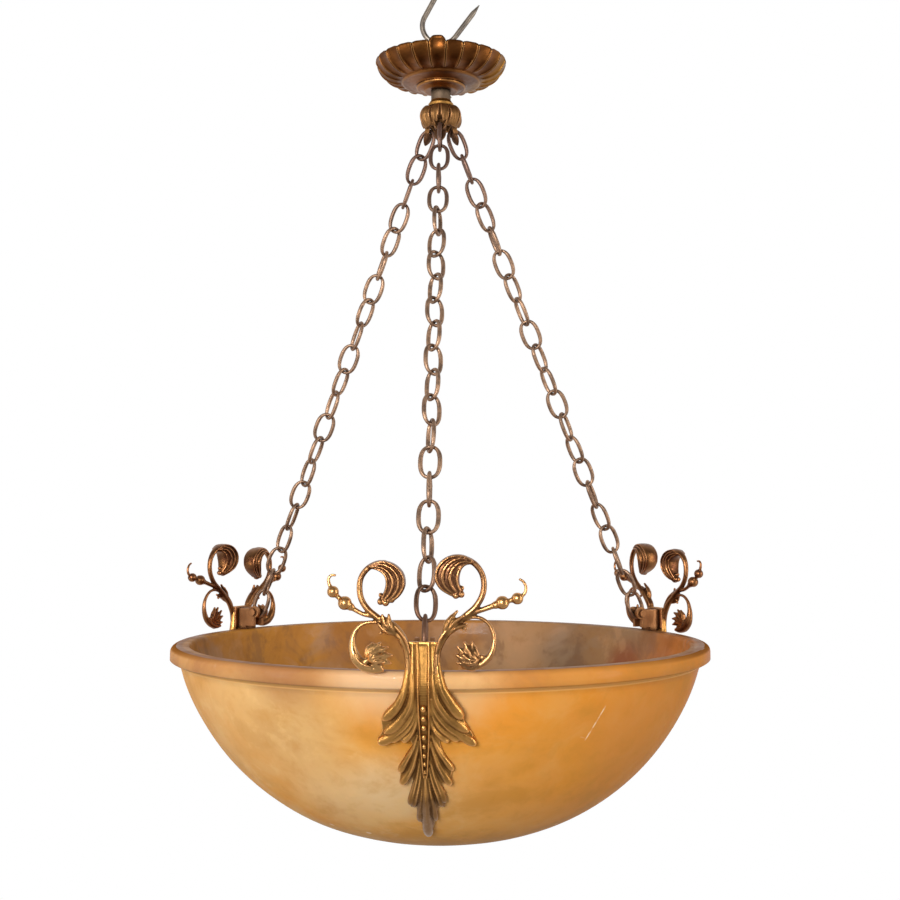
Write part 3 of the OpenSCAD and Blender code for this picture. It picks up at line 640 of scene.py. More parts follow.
def stone_outside():
    """Honey stone with cream clouds on the left and amber on the right"""
    f = Finish("polished alabaster")
    s = stone()
    x, y, z = f.axes()
    clouds = f.noise(s.cloud_scale, 5, 0.55, 0.6)
    mottle = f.noise(s.cloud_scale * 3.2, 5, 0.62, 0.4, f.mapped((1, 1, 1.3), (3.1, 0.4, 0.9)))
    fine = f.noise(s.cloud_scale * 11, 4, 0.6, 0.3)
    veins = f.band(f.cells(7, f.mapped((1, 1, 1.6), turn=(0.5, 0.3, 0))), 0.0, 0.09, 1, 0)
    left = f.band(x, -0.03, 0.06, 1.0, 0.12)
    base = f.mix(f.band(clouds, 0.40, 0.68), s.honey, s.cream)
    base = f.tint(base, f.band(f.uneven(x, clouds, 0.28), -0.03, 0.17), 0.80, s.amber)
    base = f.mix(f.band(f.uneven(x, mottle, 0.10), -0.19, -0.12, 0.70, 0.0), base, (0.66, 0.30, 0.075))

    # Deep patches, then the pale ones near the leaf
    deep = f.band(f.noise(8, 3, 0.5, 0.5, f.mapped(move=(0.2, 0.8, 0.1))), 0.50, 0.62)
    base = f.tint(base, deep, 0.55, (0.66, 0.26, 0.035))
    base = f.patch(base, (-0.070, -0.170, -0.715), 0.012, 0.055, 0.85, (0.70, 0.46, 0.225))
    base = f.patch(base, (-0.100, -0.190, -0.645), 0.015, 0.060, 0.70, (0.58, 0.385, 0.175))
    base = f.patch(base, (-0.022, -0.180, -0.700), 0.014, 0.035, 0.70, (0.70, 0.50, 0.28))
    base = f.patch(base, (0.012, -0.225, -0.608), 0.012, 0.050, 0.60, s.cream)
    amber = f.band(f.noise(3.2, 3, 0.5, 0.8, f.mapped(move=(0.4, 0.1, 0.2))), 0.5, 0.68)
    base = f.tint(base, amber, 0.5, s.amber)
    base = f.patch(base, (0.055, -0.212, -0.636), 0.008, 0.035, 0.75, (0.74, 0.270, 0.028))

    # Mottling, rosy patches on the right and fine grain
    base = f.tint(base, f.band(mottle, 0.46, 0.66), 0.50, darker(s.honey, 0.68))
    pale = f.product(f.band(mottle, 0.50, 0.30), f.band(x, -0.02, 0.08, 0.40, 0.15))
    base = f.mix(pale, base, s.cream)
    base = f.patch(base, (0.160, -0.130, -0.655), 0.015, 0.060, 0.60, (0.62, 0.245, 0.055))
    base = f.patch(base, (0.222, -0.030, -0.611), 0.020, 0.040, 0.70, (0.60, 0.235, 0.125))
    base = f.patch(base, (0.020, -0.228, -0.608), 0.015, 0.040, 0.50, (0.74, 0.47, 0.24))
    base = f.patch(base, (-0.155, -0.150, -0.665), 0.030, 0.060, 0.40, (0.66, 0.42, 0.19))
    base = f.tint(base, f.product(veins, left), 0.14, s.cream)
    base = f.tint(base, f.band(fine, 0.50, 0.68), 0.20, darker(s.honey, 0.66))
    base = f.tint(base, f.product(f.band(fine, 0.46, 0.32), left), 0.26, (0.80, 0.50, 0.22))
    base = stone_lip(f, base, mottle, x, y, z)
    # Painted shade: darker towards the bottom of the bowl
    base = f.mix(f.band(z, -0.765, -0.725, 0.30, 0.0), base, darker(s.honey, 0.5))
    base = stone_marks(f, base)
    f.bump((clouds, 0.12, 0.002), (mottle, 0.10, 0.0008), (fine, 0.10, 0.0004))
    return f.set(
        Base_Color=base,
        Roughness=f.band(fine, 0.3, 0.7, 0.22, 0.38),
        Specular_IOR_Level=0.0,
        Subsurface_Weight=0.10,
        Subsurface_Radius=(1.0, 0.5, 0.2),
        Subsurface_Scale=0.004,
        Coat_Weight=f.band(z, -0.6082, -0.6066, 0.12, 0.0),
        Coat_IOR=1.35,
        Coat_Roughness=0.09,
    )


def stone_inside():
    """The duller inner face, darkened partly as painted shade: brown and grey clouds, an orange right end and
    painted shade on the rim's top
    """
    f = Finish("unpolished alabaster")
    s = stone()
    clouds = f.noise(6, 5, 0.6, 0.8)
    veil = f.noise(11, 4, 0.6, 0.6, f.mapped((1, 1, 1.4), (2.1, 0.3, 0.7)))
    grey = f.noise(4.5, 3, 0.5, 1.0, f.mapped(move=(1.3, 0.2, 0)))
    # The inner face's darker colour is partly painted shade for the inside of the bowl
    base = f.mix(f.band(clouds, 0.38, 0.66), s.inside, darker(s.honey, 0.70))
    base = f.tint(base, f.band(veil, 0.50, 0.62), 0.60, (0.36, 0.195, 0.095))
    base = f.tint(base, f.band(grey, 0.52, 0.66), 0.60, s.smoke)
    base = f.patch(base, (0.075, 0.195, -0.640), 0.012, 0.060, 0.75, (0.46, 0.265, 0.13))
    base = f.patch(base, (0.112, 0.180, -0.640), 0.008, 0.035, 0.60, s.smoke)
    base = f.patch(base, (-0.020, 0.212, -0.640), 0.012, 0.040, 0.50, s.smoke)
    base = f.patch(base, (0.200, 0.045, -0.640), 0.020, 0.070, 0.90, (0.38, 0.110, 0.016))
    base = f.patch(base, (-0.100, 0.185, -0.630), 0.010, 0.035, 0.70, (0.33, 0.125, 0.030))
    base = f.patch(base, (0.168, 0.118, -0.640), 0.010, 0.022, 0.80, (0.24, 0.062, 0.02))
    base = f.patch(base, (0.214, 0.020, -0.625), 0.020, 0.030, 0.80, (0.50, 0.155, 0.02))
    spots = f.noise(28, 4, 0.6, 0.5)
    base = f.tint(base, f.band(spots, 0.50, 0.64), 0.45, (0.15, 0.070, 0.034))
    base = f.tint(base, f.band(spots, 0.46, 0.34), 0.35, (0.50, 0.26, 0.115))
    # Painted shade: the rim's top is darkened
    inside_rim = f.blob((0, 0, RIM_Z * MM), 0.2135, 0.003)
    base = f.mix(f.math("SUBTRACT", 1.0, inside_rim), base, (0.29, 0.105, 0.022))
    fine = f.noise(60, 4, 0.6)
    base = f.tint(base, f.band(fine, 0.5, 0.7), 0.25, darker(s.inside, 0.6))
    f.bump((clouds, 0.2, 0.002), (fine, 0.25, 0.0005))
    return f.set(
        Base_Color=base,
        Roughness=f.band(fine, 0.3, 0.7, 0.45, 0.65),
        Specular_IOR_Level=0.2,
        Coat_Weight=0.06,
        Coat_Roughness=0.1,
    )


def scroll_tones_and_painted_light(f, tone, height, head):
    """Browner above a height; painted light on the front scrolls' left spray of low leaves and painted shade
    on the right one; lighter berries
    """
    tone = f.mix(f.band(height, head - 0.012, head + 0.006, 0.0, 0.8), tone, (0.20, 0.085, 0.045))
    # Painted light on the left spray
    tone = f.patch(tone, (-0.036, -0.240, -0.600), 0.018, 0.012, 0.62, (0.78, 0.44, 0.17))
    # Painted shade on the right spray
    tone = f.patch(tone, (0.040, -0.240, -0.596), 0.018, 0.012, 0.60, (0.28, 0.14, 0.065))
    tone = f.patch(tone, (-0.056, -0.235, -0.556), 0.012, 0.012, 0.70, (0.66, 0.36, 0.13))
    return f.patch(tone, (0.062, -0.235, -0.556), 0.012, 0.012, 0.70, (0.66, 0.36, 0.13))


def stem_lines(f, x, y, z):
    """1 on fine cross lines down the middle of the front leaf's stem"""
    off = f.math("ABSOLUTE", f.math("SUBTRACT", x, 0.0005))
    lines_per_metre = 5400.0
    return f.product(
        f.band(off, 0.0040, 0.0048, 1, 0),
        f.band(y, -0.20, -0.19, 1, 0),
        f.band(z, -0.628, -0.624),
        f.band(z, -0.608, -0.604, 1, 0),
        f.band(f.math("SINE", f.math("MULTIPLY", z, lines_per_metre)), -0.2, 0.8),
    )


def cast_metal(name, light, base_tone, dark, shine=0.34, grain=1.0, foot=None, head=None, patina_and_shade=0.94):
    """Aged cast metal: patina and painted shade in the recesses, wear and painted highlight on the edges.
    foot is (height, depth, first tone, last tone) of a browner low end, head the height above which scrolls
    are browner, and with it come painted light and shade on the front scrolls' low sprays"""
    f = Finish(name)
    x, y, z = f.axes()
    blotch = f.noise(55, 4, 0.6, 0.3)
    wide = f.noise(18, 3, 0.5, 0.4)
    fine = f.noise(420, 3, 0.6)
    tone = f.mix(f.band(blotch, 0.38, 0.60), base_tone, light)
    if foot:
        level, depth, first, last = foot
        height = f.uneven(z, wide, depth)
        tone = f.mix(f.band(height, level - depth * 0.7, level + depth * 0.4, 0.85, 0.0), tone, first)
    if head:
        tone = scroll_tones_and_painted_light(f, tone, f.uneven(z, wide, 0.04), head)
    tone = f.tint(tone, f.band(wide, 0.52, 0.70), 0.45, darker(base_tone, 0.6))
    # Wear and painted highlight: convex edges are brightened
    worn_and_highlight = (min(1, light[0] * 1.85), min(1, light[1] * 1.85), min(1, light[2] * 2.2))
    tone = f.tint(tone, f.edges(0.503, 0.54), 0.85, worn_and_highlight)
    if foot:
        tone = f.mix(f.band(height, level - depth * 0.70, level - depth * 0.26, 0.9, 0.0), tone, last)
        tone = f.tint(tone, stem_lines(f, x, y, z), 0.55, last)
    # Patina and painted shade: recesses and hollows are darkened
    deep = f.math("MAXIMUM", f.recess(0.005, 0.45, 0.97), f.band(f.edges(0.455, 0.4985), 0.0, 1.0, 0.85, 0.0))
    tone = f.tint(tone, deep, patina_and_shade, dark)
    f.bump((blotch, 0.25 * grain, 0.0006), (fine, 0.22 * grain, 0.00012))
    rough = f.math("ADD", f.band(fine, 0.3, 0.7, shine - 0.06, shine + 0.08), f.math("MULTIPLY", deep, 0.30))
    return f.set(Base_Color=tone, Metallic=1.0, Roughness=rough)


def rose_copper():
    """The rose's streaky copper bronze: wear and painted highlight on the ridges, patina and painted shade in
    the recesses, rusty in places
    """
    f = Finish("copper bronze")
    copper = metal().copper
    streak = f.noise(26, 4, 0.6, 0.4, f.mapped((1, 1, 2.5)))
    bright = (copper[0] * 1.35, copper[1] * 1.45, copper[2] * 1.5)
    tone = f.mix(f.band(streak, 0.35, 0.65), darker(copper, 0.62), bright)
    # Wear and painted highlight on the ridges
    tone = f.tint(tone, f.edges(0.509, 0.56), 0.6, (0.58, 0.28, 0.09))
    # Patina and painted shade in the recesses
    tone = f.tint(tone, f.recess(0.005, 0.42, 0.97), 0.68, metal().patina)
    rust = f.band(f.noise(14, 3, 0.5, 0.5, f.mapped(move=(0.7, 0.2, 0.5))), 0.45, 0.68)
    tone = f.tint(tone, rust, 0.5, (0.34, 0.17, 0.03))
    fine = f.noise(300, 3, 0.6)
    f.bump((streak, 0.2, 0.0006), (fine, 0.18, 0.0001))
    return f.set(Base_Color=tone, Metallic=1.0, Roughness=f.band(fine, 0.3, 0.7, 0.34, 0.46))


def wire_metal(name, tone, dark, shine, foot=None, head=None):
    """Drawn wire, dulled by age, with grime and painted shade in the crevices. foot is a browner tone for the
    front chain's low end, and head a darker tone for the chains' tops"""
    f = Finish(name)
    x, y, z = f.axes()
    blotch = f.noise(120, 4, 0.6, 0.4)
    fine = f.noise(700, 2, 0.5)
    bright = (tone[0] * 1.25, tone[1] * 1.22, tone[2] * 1.15)
    base = f.mix(f.band(blotch, 0.36, 0.64), darker(tone, 0.62), bright)
    if foot:
        low_front = f.product(f.band(z, -0.585, -0.50, 0.9, 0.0), f.band(y, -0.12, -0.05, 1.0, 0.0))
        base = f.mix(low_front, base, foot)
        base = f.mix(f.band(z, -0.27, -0.19, 0.0, 0.9), base, head)
    # Grime and painted shade: crevices between the links are darkened
    base = f.tint(base, f.recess(0.003, 0.3, 0.85), 0.8, dark)
    f.bump((blotch, 0.15, 0.0003), (fine, 0.2, 0.00006))
    return f.set(Base_Color=base, Metallic=0.85, Roughness=f.band(fine, 0.3, 0.7, shine - 0.05, shine + 0.08))


def plain_metal(name, tone, shine):
    """Turned or plated metal with a fine brushed grain"""
    f = Finish(name)
    brushed = f.noise(300, 3, 0.6, 0, f.mapped((1, 1, 0.08)))
    f.bump((brushed, 0.15, 0.00008))
    base = f.mix(f.band(f.noise(40, 3), 0.35, 0.65), darker(tone, 0.8), tone)
    rough = f.band(brushed, 0.3, 0.7, shine - 0.06, shine + 0.08)
    return f.set(Base_Color=base, Metallic=1.0, Roughness=rough)


def rubber():
    f = Finish("washer rubber")
    fine = f.noise(500, 3)
    f.bump((fine, 0.3, 0.0001))
    black = f.mix(f.band(fine, 0.3, 0.7), (0.012, 0.012, 0.012), (0.03, 0.028, 0.026))
    return f.set(Base_Color=black, Roughness=0.75)


def holder_white():
    f = Finish("lampholder moulding")
    f.bump((f.noise(260, 3), 0.08, 0.0001))
    white, dusty = (0.80, 0.78, 0.72), (0.55, 0.47, 0.36)
    return f.set(Base_Color=f.tint(white, f.band(f.noise(30, 4), 0.5, 0.7), 0.3, dusty), Roughness=0.4)


def frosted_glass():
    f = Finish("frosted bulb glass")
    f.bump((f.noise(900, 2), 0.05, 0.0001))
    cloudy = f.mix(f.band(f.noise(60, 3), 0.35, 0.65), (0.90, 0.87, 0.80), (0.97, 0.95, 0.90))
    return f.set(Base_Color=cloudy, Roughness=0.28, Transmission_Weight=0.45, IOR=1.45)


MATERIALS = {}


def finish(key):
    """Each material is made once, when first asked for"""
    m = metal()
    gilt_foot = (-0.672, 0.05, (0.29, 0.130, 0.028), (0.19, 0.084, 0.018))
    hub_foot = (CLAW_Z * MM + 0.0001, 0.004, (0.16, 0.078, 0.040), (0.14, 0.068, 0.036))
    makers = {
        "stone_outside": stone_outside,
        "stone_inside": stone_inside,
        "gilt": lambda: cast_metal(
            "worn gilt casting", m.gilt, darker(m.gilt, 0.62), (0.10, 0.045, 0.013),
            grain=1.2, foot=gilt_foot, patina_and_shade=0.82,
        ),
        "bronze": lambda: cast_metal(
            "brown bronze casting", (0.40, 0.200, 0.066), darker(m.bronze, 0.66), m.patina, 0.32, head=-0.556
        ),
        # Painted shade: a darker copy of the bronze for the rear brackets' scrolls
        "bronze_dark": lambda: cast_metal(
            "shaded bronze casting", (0.25, 0.108, 0.038), (0.115, 0.042, 0.020), m.patina, 0.36
        ),
        "saddle": lambda: cast_metal(
            "dull saddle bronze", (0.26, 0.125, 0.045), (0.14, 0.062, 0.024), m.patina, 0.5
        ),
        "hub": lambda: cast_metal(
            "hub bronze", (0.28, 0.140, 0.050), darker(m.bronze, 0.62), (0.10, 0.045, 0.018),
            0.54, foot=hub_foot, patina_and_shade=0.8,
        ),
        "bead": lambda: cast_metal(
            "turned bead brass", (0.30, 0.155, 0.035), (0.21, 0.10, 0.022), m.patina, 0.46
        ),
        "collar": lambda: cast_metal(
            "collar bronze", (0.115, 0.080, 0.045), (0.08, 0.054, 0.030), (0.03, 0.021, 0.012), 0.6
        ),
        "copper": rose_copper,
        "chain": lambda: wire_metal(
            "chain wire", m.chain, m.patina, 0.46, (0.15, 0.072, 0.042), (0.185, 0.105, 0.078)
        ),
        "steel": lambda: wire_metal("hook wire", m.steel, (0.06, 0.05, 0.04), 0.42),
        "brass": lambda: plain_metal("turned brass", (0.48, 0.30, 0.11), 0.32),
        "zinc": lambda: plain_metal("zinc plated steel", (0.52, 0.52, 0.50), 0.35),
        "rubber": rubber,
        "holder": holder_white,
        "glass": frosted_glass,
    }
    if key not in MATERIALS:
        MATERIALS[key] = makers[key]()
    return MATERIALS[key]


# The bowl

# How far the softer lip reaches below the solid's, the height of its slope, the radius of its top edge
LIP_DROP, LIP_SLOPE, LIP_ROUND = 3.4, 4.6, 4.6
# The unpolished rim starts this far in from the lip
POLISH_EDGE = 4.4


def body_r(depth):
    """Radius of the stone's outer face at a depth below the rim"""
    return BODY_R * max(0.0, 1 - (min(depth, BOWL_H) / BOWL_H) ** 1.53) ** 0.4


def body_point(depth, out):
    """A place at a distance out from the stone's outer face, as (radius, height from the rim)"""
    slope = math.atan(body_r(depth - 0.5) - body_r(depth + 0.5))
    return body_r(depth) + out * math.cos(slope), -depth - out * math.sin(slope)


def lathe(profile, steps, wobble=None):
    """Revolves (r, z) points; both ends lie on the axis"""
    verts, faces = [], []
    inner = profile[1:-1]
    for r, z in inner:
        for a in round_angles(steps):
            d = wobble(r, z, a) if wobble else 0.0
            verts.append(((r + d) * math.cos(a), (r + d) * math.sin(a), z))
    rows = len(inner)
    for i in range(rows - 1):
        for k in range(steps):
            k2 = (k + 1) % steps
            faces.append((i * steps + k, i * steps + k2, (i + 1) * steps + k2, (i + 1) * steps + k))
    for row, point, flip in ((0, profile[0], True), (rows - 1, profile[-1], False)):
        c = len(verts)
        verts.append((0, 0, point[1]))
        for k in range(steps):
            a, b = row * steps + k, row * steps + (k + 1) % steps
            faces.append((c, b, a) if flip else (c, a, b))
    return verts, faces


def bowl_profile():
    """Outer face from the bottom up, over the lip and down the inner face"""
    steps = 40

    def face(top, deepest, out, order):
        """The stone's face from a depth down, with closer points toward the bottom"""
        points = []
        for i in order:
            depth = top + (BOWL_H - top) * math.sin(math.radians(90 * i / steps))
            points.append(body_point(min(depth, deepest), out))
        return [(r, z) for r, z in points if r > 1]

    outer = face(LIP_H + 2.2, BOWL_H - 0.02, 0, range(steps, 0, -1))
    inner = face(LIP_H * 0.35, BOWL_H - 0.05, -BOWL_WALL, range(1, steps))
    groove = body_r(LIP_H + LIP_DROP)
    lip = []
    for t in (0.06, 0.15, 0.3, 0.45, 0.6, 0.75, 0.9, 1.0):
        swell = 0.5 * (t + math.sin(math.pi / 2 * t) ** 2)
        lip.append((groove + (LIP_R - groove) * swell, -LIP_H - LIP_DROP + LIP_SLOPE * t))
    lip.append((LIP_R, -LIP_H * 0.52))
    for a in (0.0, 0.26, 0.52, 0.78, 1.05, 1.3, 1.57):
        lip.append((LIP_R - LIP_ROUND + LIP_ROUND * math.cos(a), -LIP_ROUND + LIP_ROUND * math.sin(a)))
    for out, z in ((8, 0.15), (2.4, 0.0), (1.2, -0.35), (0.5, -1.1), (0.2, -2.4)):
        lip.append((inner[0][0] + out, z))
    return [(0.0, -BOWL_H)] + outer + lip + inner + [(0.0, BOWL_WALL - BOWL_H)]


class BowlPiece(bpy.types.Operator):
    """The stone bowl with its rounded lip and hand finish"""

    bl_idname = "bowl_light.bowl"
    bl_label = "Stone bowl"

    def execute(self, context):
        carve = stone().carve / MM

        def wobble(r, z, a):
            waves = math.sin(3 * a + z * 0.05) + 0.6 * math.sin(7 * a - z * 0.09)
            waves += 0.4 * math.sin(13 * a + 1.7)
            return carve * waves * min(1, r / 90)

        verts, faces = lathe(bowl_profile(), 240, wobble)
        ob = mesh_object("stone_bowl", [(x, y, z + RIM_Z) for x, y, z in verts], faces)
        outwards(ob)
        dress(ob, finish("stone_outside"))
        ob.data.materials.append(finish("stone_inside"))
        for p in ob.data.polygons:
            c = p.center / MM
            r = math.hypot(c.x, c.y)
            depth = RIM_Z - c.z
            in_wall = r < body_r(max(depth, 1)) - BOWL_WALL * 0.5
            inside = in_wall and depth < BOWL_H - BOWL_WALL * 0.55
            on_rim = depth < 2.0 and r < LIP_R - POLISH_EDGE
            if inside or on_rim:
                p.material_index = 1
        piece(ob, "bowl_group", "alabaster", ["bowl"])
        return {"FINISHED"}


# Leaves

# The back's bend below the stem, the gap to the stone, and the depth below which the tip hangs straight
LEAF_BEND, LEAF_GAP, LEAF_HANG = 8, 0.3, 133


def leaf_point(u, z, out):
    """A place on the front leaf: u across, z from the rim, out from the leaf's back"""
    depth = -z
    if depth <= STAND_LOW - LEAF_BEND:
        r, zz = STAND_R + out, z
    elif depth < LAND_DEPTH:
        land = body_r(LAND_DEPTH) + LEAF_GAP
        fall = (STAND_R - land) / (LAND_DEPTH - STAND_LOW)
        soft = min(1.0, (depth - STAND_LOW + LEAF_BEND) / (2 * LEAF_BEND))
        run = LEAF_BEND * soft * soft if soft < 1 else depth - STAND_LOW
        lean = math.atan(fall) * soft
        r = STAND_R - fall * run + out * math.cos(lean)
        zz = z - out * math.sin(lean)
    else:
        r, zz = body_point(min(depth, LEAF_HANG), LEAF_GAP + out)
        zz -= max(0, depth - LEAF_HANG)
    return (u, -math.sqrt(max(r * r - u * u, 1)), zz + RIM_Z)


def leaf_up(u, z):
    a, b = Vector(leaf_point(u, z, 0)), Vector(leaf_point(u, z, 2))
    return tuple((b - a).normalized())


LEAF_LEFT = [
    (-8.3, 20.7), (-8.6, 12), (-8.3, 5.3), (-10.3, -2.7), (-15, -12.8), (-20, -18.6), (-27.3, -26.1), (
        -30.5, -32.9,
    ),
    (-30.3, -41.2), (-34.2, -47.4), (-32.3, -51.9), (-26.6, -50.1), (-16.8, -49.8), (-11.1, -46.7), (
        -9.3, -52,
    ),
    (-14.5, -59.7), (-18.4, -67.5), (-19.6, -75.5), (-18.6, -82.8), (-14.9, -80.2), (-10.5, -76.9), (
        -10.1, -83.4,
    ),
    (-12.8, -91.9), (-14.7, -98.1), (-12.8, -102.5), (-8.4, -101.4), (-8.8, -107), (-8.1, -115.6), (
        -6, -116.6,
    ),
    (-3.9, -126.1), (-1.6, -132),
]
LEAF_RIGHT = [
    (10.3, 20.8), (10.2, 12.1), (10, 5.4), (12.6, -3.3), (17.3, -12.6), (23.8, -20.5), (28.4, -27.2), (
        28.9, -33.1,
    ),
    (33.5, -40.7), (36.8, -48.3), (33.3, -52), (27.9, -49.6), (16.3, -47.3), (11.5, -48.7), (12.7, -52.6), (
        16.6, -60.9,
    ),
    (20.6, -68), (19, -75.1), (18, -83.2), (13.2, -81.5), (10.4, -81.5), (14.4, -87.3), (14.7, -95.9), (
        13, -102.1,
    ),
    (8.8, -101.2), (6.8, -109.6), (5.8, -114.4), (2.7, -126),
]

# Lobes of the leaf: path as (across, height), half widths at root, middle and end, height, and
# how far the tip curls out
LOBES = [
    (
        [(-9.8, 20.6), (-9.8, 10), (-10.2, -1), (-12.2, -12), (-16.8, -21.6), (-23, -28.6), (-28, -32.4)],
        (1.4, 2.3, 3.5), 3.2, 1.5,
    ),
    (
        [(-6.6, 20.6), (-6.6, 6), (-6.6, -8), (-7.6, -18), (-11.5, -27), (-19.5, -37), (-27.4, -42.4)],
        (1.5, 2.3, 3.4), 3.4, 1.5,
    ),
    ([(-5.0, -14), (-6.0, -25), (-11.2, -35.5), (-21.5, -44.6), (-32, -49)], (1.0, 2.6, 3.5), 3.2, 3.5),
    ([(-4.6, -22), (-6.5, -32), (-12, -40.5), (-19, -46), (-24.5, -47.5)], (0.8, 1.9, 2.0), 3.6, 1.0),
    ([(-4.2, -26), (-5.2, -34), (-9, -42), (-15.4, -48)], (0.8, 2.0, 2.4), 4.2, 1.5),
    ([(-4.6, -44), (-7, -52), (-11.8, -61), (-18.4, -72)], (0.9, 1.9, 2.3), 3.0, 1.2),
    ([(-3.6, -48), (-6, -58), (-10.4, -70), (-17.6, -81)], (0.9, 2.1, 2.7), 3.4, 2.2),
    ([(-3.4, -62), (-5.8, -74), (-8.8, -86), (-12.8, -98.5)], (0.9, 1.9, 2.3), 2.8, 1.2),
    ([(-3.0, -68), (-4.8, -80), (-7.6, -92), (-10.4, -100.5)], (0.8, 1.4, 1.6), 3.2, 0.8),
    ([(-2.2, -76), (-3.8, -90), (-5.6, -103), (-7.0, -113.5)], (0.8, 1.7, 2.0), 2.8, 1.0),
    ([(-0.4, -74), (-0.9, -90), (-1.3, -108), (-1.4, -128.4)], (1.2, 2.8, 3.5), 3.8, 1.2),
    (
        [(10.0, 20.6), (9.9, 10), (10.8, -1), (13.2, -11), (18.5, -20), (23.4, -27), (26.6, -31)],
        (1.6, 2.8, 3.7), 3.6, 1.5,
    ),
    (
        [(7.2, 20.6), (7.2, 6), (7.4, -8), (9.2, -19), (16, -30), (23.4, -36), (30.4, -41)],
        (1.6, 2.3, 3.2), 3.0, 1.5,
    ),
    ([(5.6, -14), (7.2, -25), (15.5, -37), (25, -44), (35.4, -49.4)], (1.0, 2.4, 3.2), 3.0, 3.5),
    ([(5.0, -22), (7.6, -32), (13, -40), (23.6, -47.6)], (0.8, 1.9, 2.2), 3.4, 1.2),
    ([(4.6, -28), (6.4, -37), (10.6, -43.2), (17, -48)], (0.8, 1.9, 2.2), 3.8, 1.4),
    ([(5.0, -43), (8, -52), (12.4, -60.4), (19.2, -70)], (0.9, 1.9, 2.2), 2.8, 1.2),
    ([(3.8, -48), (6.4, -58), (10.6, -69.6), (17.2, -81)], (0.9, 2.1, 2.6), 3.2, 2.0),
    ([(3.2, -62), (5.6, -73), (8.8, -84), (12.6, -96)], (0.9, 1.9, 2.3), 2.8, 1.2),
    ([(2.4, -68), (4.8, -80), (7.8, -91), (10.6, -100)], (0.8, 1.4, 1.7), 3.2, 0.8),
    ([(1.4, -76), (2.9, -90), (4.4, -103), (5.2, -112.5)], (0.8, 1.7, 2.0), 2.8, 1.0),
    (
        [(-3.9, 20.9), (-3.2, 4), (-3.0, -30), (-2.5, -49), (-1.8, -68), (-1.5, -78)], (0.8, 0.8, 0.6), 4.0,
        0.0,
    ),
    ([(4.2, 20.9), (4.3, 4), (3.9, -30), (3.0, -49), (1.4, -68), (0.4, -78)], (0.8, 0.8, 0.6), 4.0, 0.0),
]

BEADS = [
    (0.2, -23.6), (0.1, -30.8), (0.0, -37.7), (-0.2, -44.8), (-0.3, -51.8), (-0.4, -58.6), (-0.4, -65.0),
    (-0.6, -71.0),
]


def flat_outline(points, out_low, out_high, shell):
    """A plate of the given outline that lies on the leaf's curved back"""
    bm = bmesh.new()
    bm.faces.new([bm.verts.new((u, 0, z)) for u, z in points])
    cuts = [((0, 0, float(z)), (0, 0, 1)) for z in np.arange(-131, 21, 2.5)]
    cuts += [((u, 0, 0), (1, 0, 0)) for u in (-24, -16, -8, 0, 8, 16, 24)]
    for place, normal in cuts:
        geom = bm.verts[:] + bm.edges[:] + bm.faces[:]
        bmesh.ops.bisect_plane(bm, geom=geom, plane_co=place, plane_no=normal)
    bmesh.ops.triangulate(bm, faces=bm.faces[:])
    bm.verts.ensure_lookup_table()
    bm.verts.index_update()
    n = len(bm.verts)
    flat = [(v.co.x, v.co.z) for v in bm.verts]
    verts = [leaf_point(u, z, out_low) for u, z in flat] + [leaf_point(u, z, out_high) for u, z in flat]
    faces = []
    for f in bm.faces:
        ids = [v.index for v in f.verts]
        faces.append(tuple(ids))
        faces.append(tuple(i + n for i in reversed(ids)))
    for e in bm.edges:
        if e.is_boundary:
            a, b = e.verts[0].index, e.verts[1].index
            faces.append((a, b, b + n, a + n))
    bm.free()
    shell.add(verts, faces)


def tapered(t, start, middle, end):
    return start + (middle - start) * 2 * t if t < 0.5 else middle + (end - middle) * (2 * t - 1)


def lobe(shell, path, widths, height, curl):
    """A lobe whose round tip curls out, with a thin crest along its middle"""
    base, flare, tip_start, curl_start = 0.9, 1.22, 0.86, 0.62
    rows, ups, wide, high, ends = [], [], [], [], []
    points = spline(path, 34)
    for i, (u, z) in enumerate(points):
        t = i / (len(points) - 1)
        w = tapered(t, widths[0], widths[1] * flare, widths[2] * flare)
        h = height * (0.9 + 0.35 * min(1, t * 2.2))
        if t > tip_start:
            k = math.sqrt(max(0.02, 1 - ((t - tip_start) / 0.145) ** 2))
            w, h = w * k, 1.2 + (h - 1.2) * k
        rows.append(leaf_point(u, z, base + curl * max(0, (t - curl_start) / (1 - curl_start)) ** 2))
        ups.append(leaf_up(u, z))
        wide.append(w)
        high.append(h - base)
        ends.append(math.sin(math.pi * min(0.97, max(0.05, t))) ** 0.4)
    shell.sweep(rows, ups, wide, high, 16)
    crest_wide = [max(0.3, 0.26 * w * e) for w, e in zip(wide, ends)]
    crest_high = [(h + 0.75) * e for h, e in zip(high, ends)]
    shell.sweep(rows, ups, crest_wide, crest_high, 8)


def leaf_casting(name):
    """Plate, lobes and stem fused into one casting for the front bracket"""
    s = Shell()
    edge = LEAF_LEFT + LEAF_RIGHT[::-1]
    shrink = 1.3
    inside = []
    for i, (u, z) in enumerate(edge):
        a, b = edge[i - 1], edge[(i + 1) % len(edge)]
        across, down = b[0] - a[0], b[1] - a[1]
        size = math.hypot(across, down)
        inside.append((u - shrink * down / size, z + shrink * across / size))
    flat_outline(inside, 0.2, 1.6, s)
    flat_outline([(-9.6, 19.6), (10.0, 19.6), (9.8, 4), (7.0, -14), (-6.4, -14), (-9.0, 4)], 0.3, 2.6, s)
    flat_outline([(-3.2, 20.8), (4.0, 20.8), (3.6, -30), (1.2, -74), (-1.8, -74), (-3.0, -30)], 0.4, 2.1, s)
    for path, widths, height, curl in LOBES:
        lobe(s, path, widths, height, curl)
    flat_outline([(-10.6, 20.9), (10.8, 20.9), (10.8, 18.9), (-10.6, 18.9)], 0.3, 2.9, s)
    return fused(s.object(name), metal().voxel)


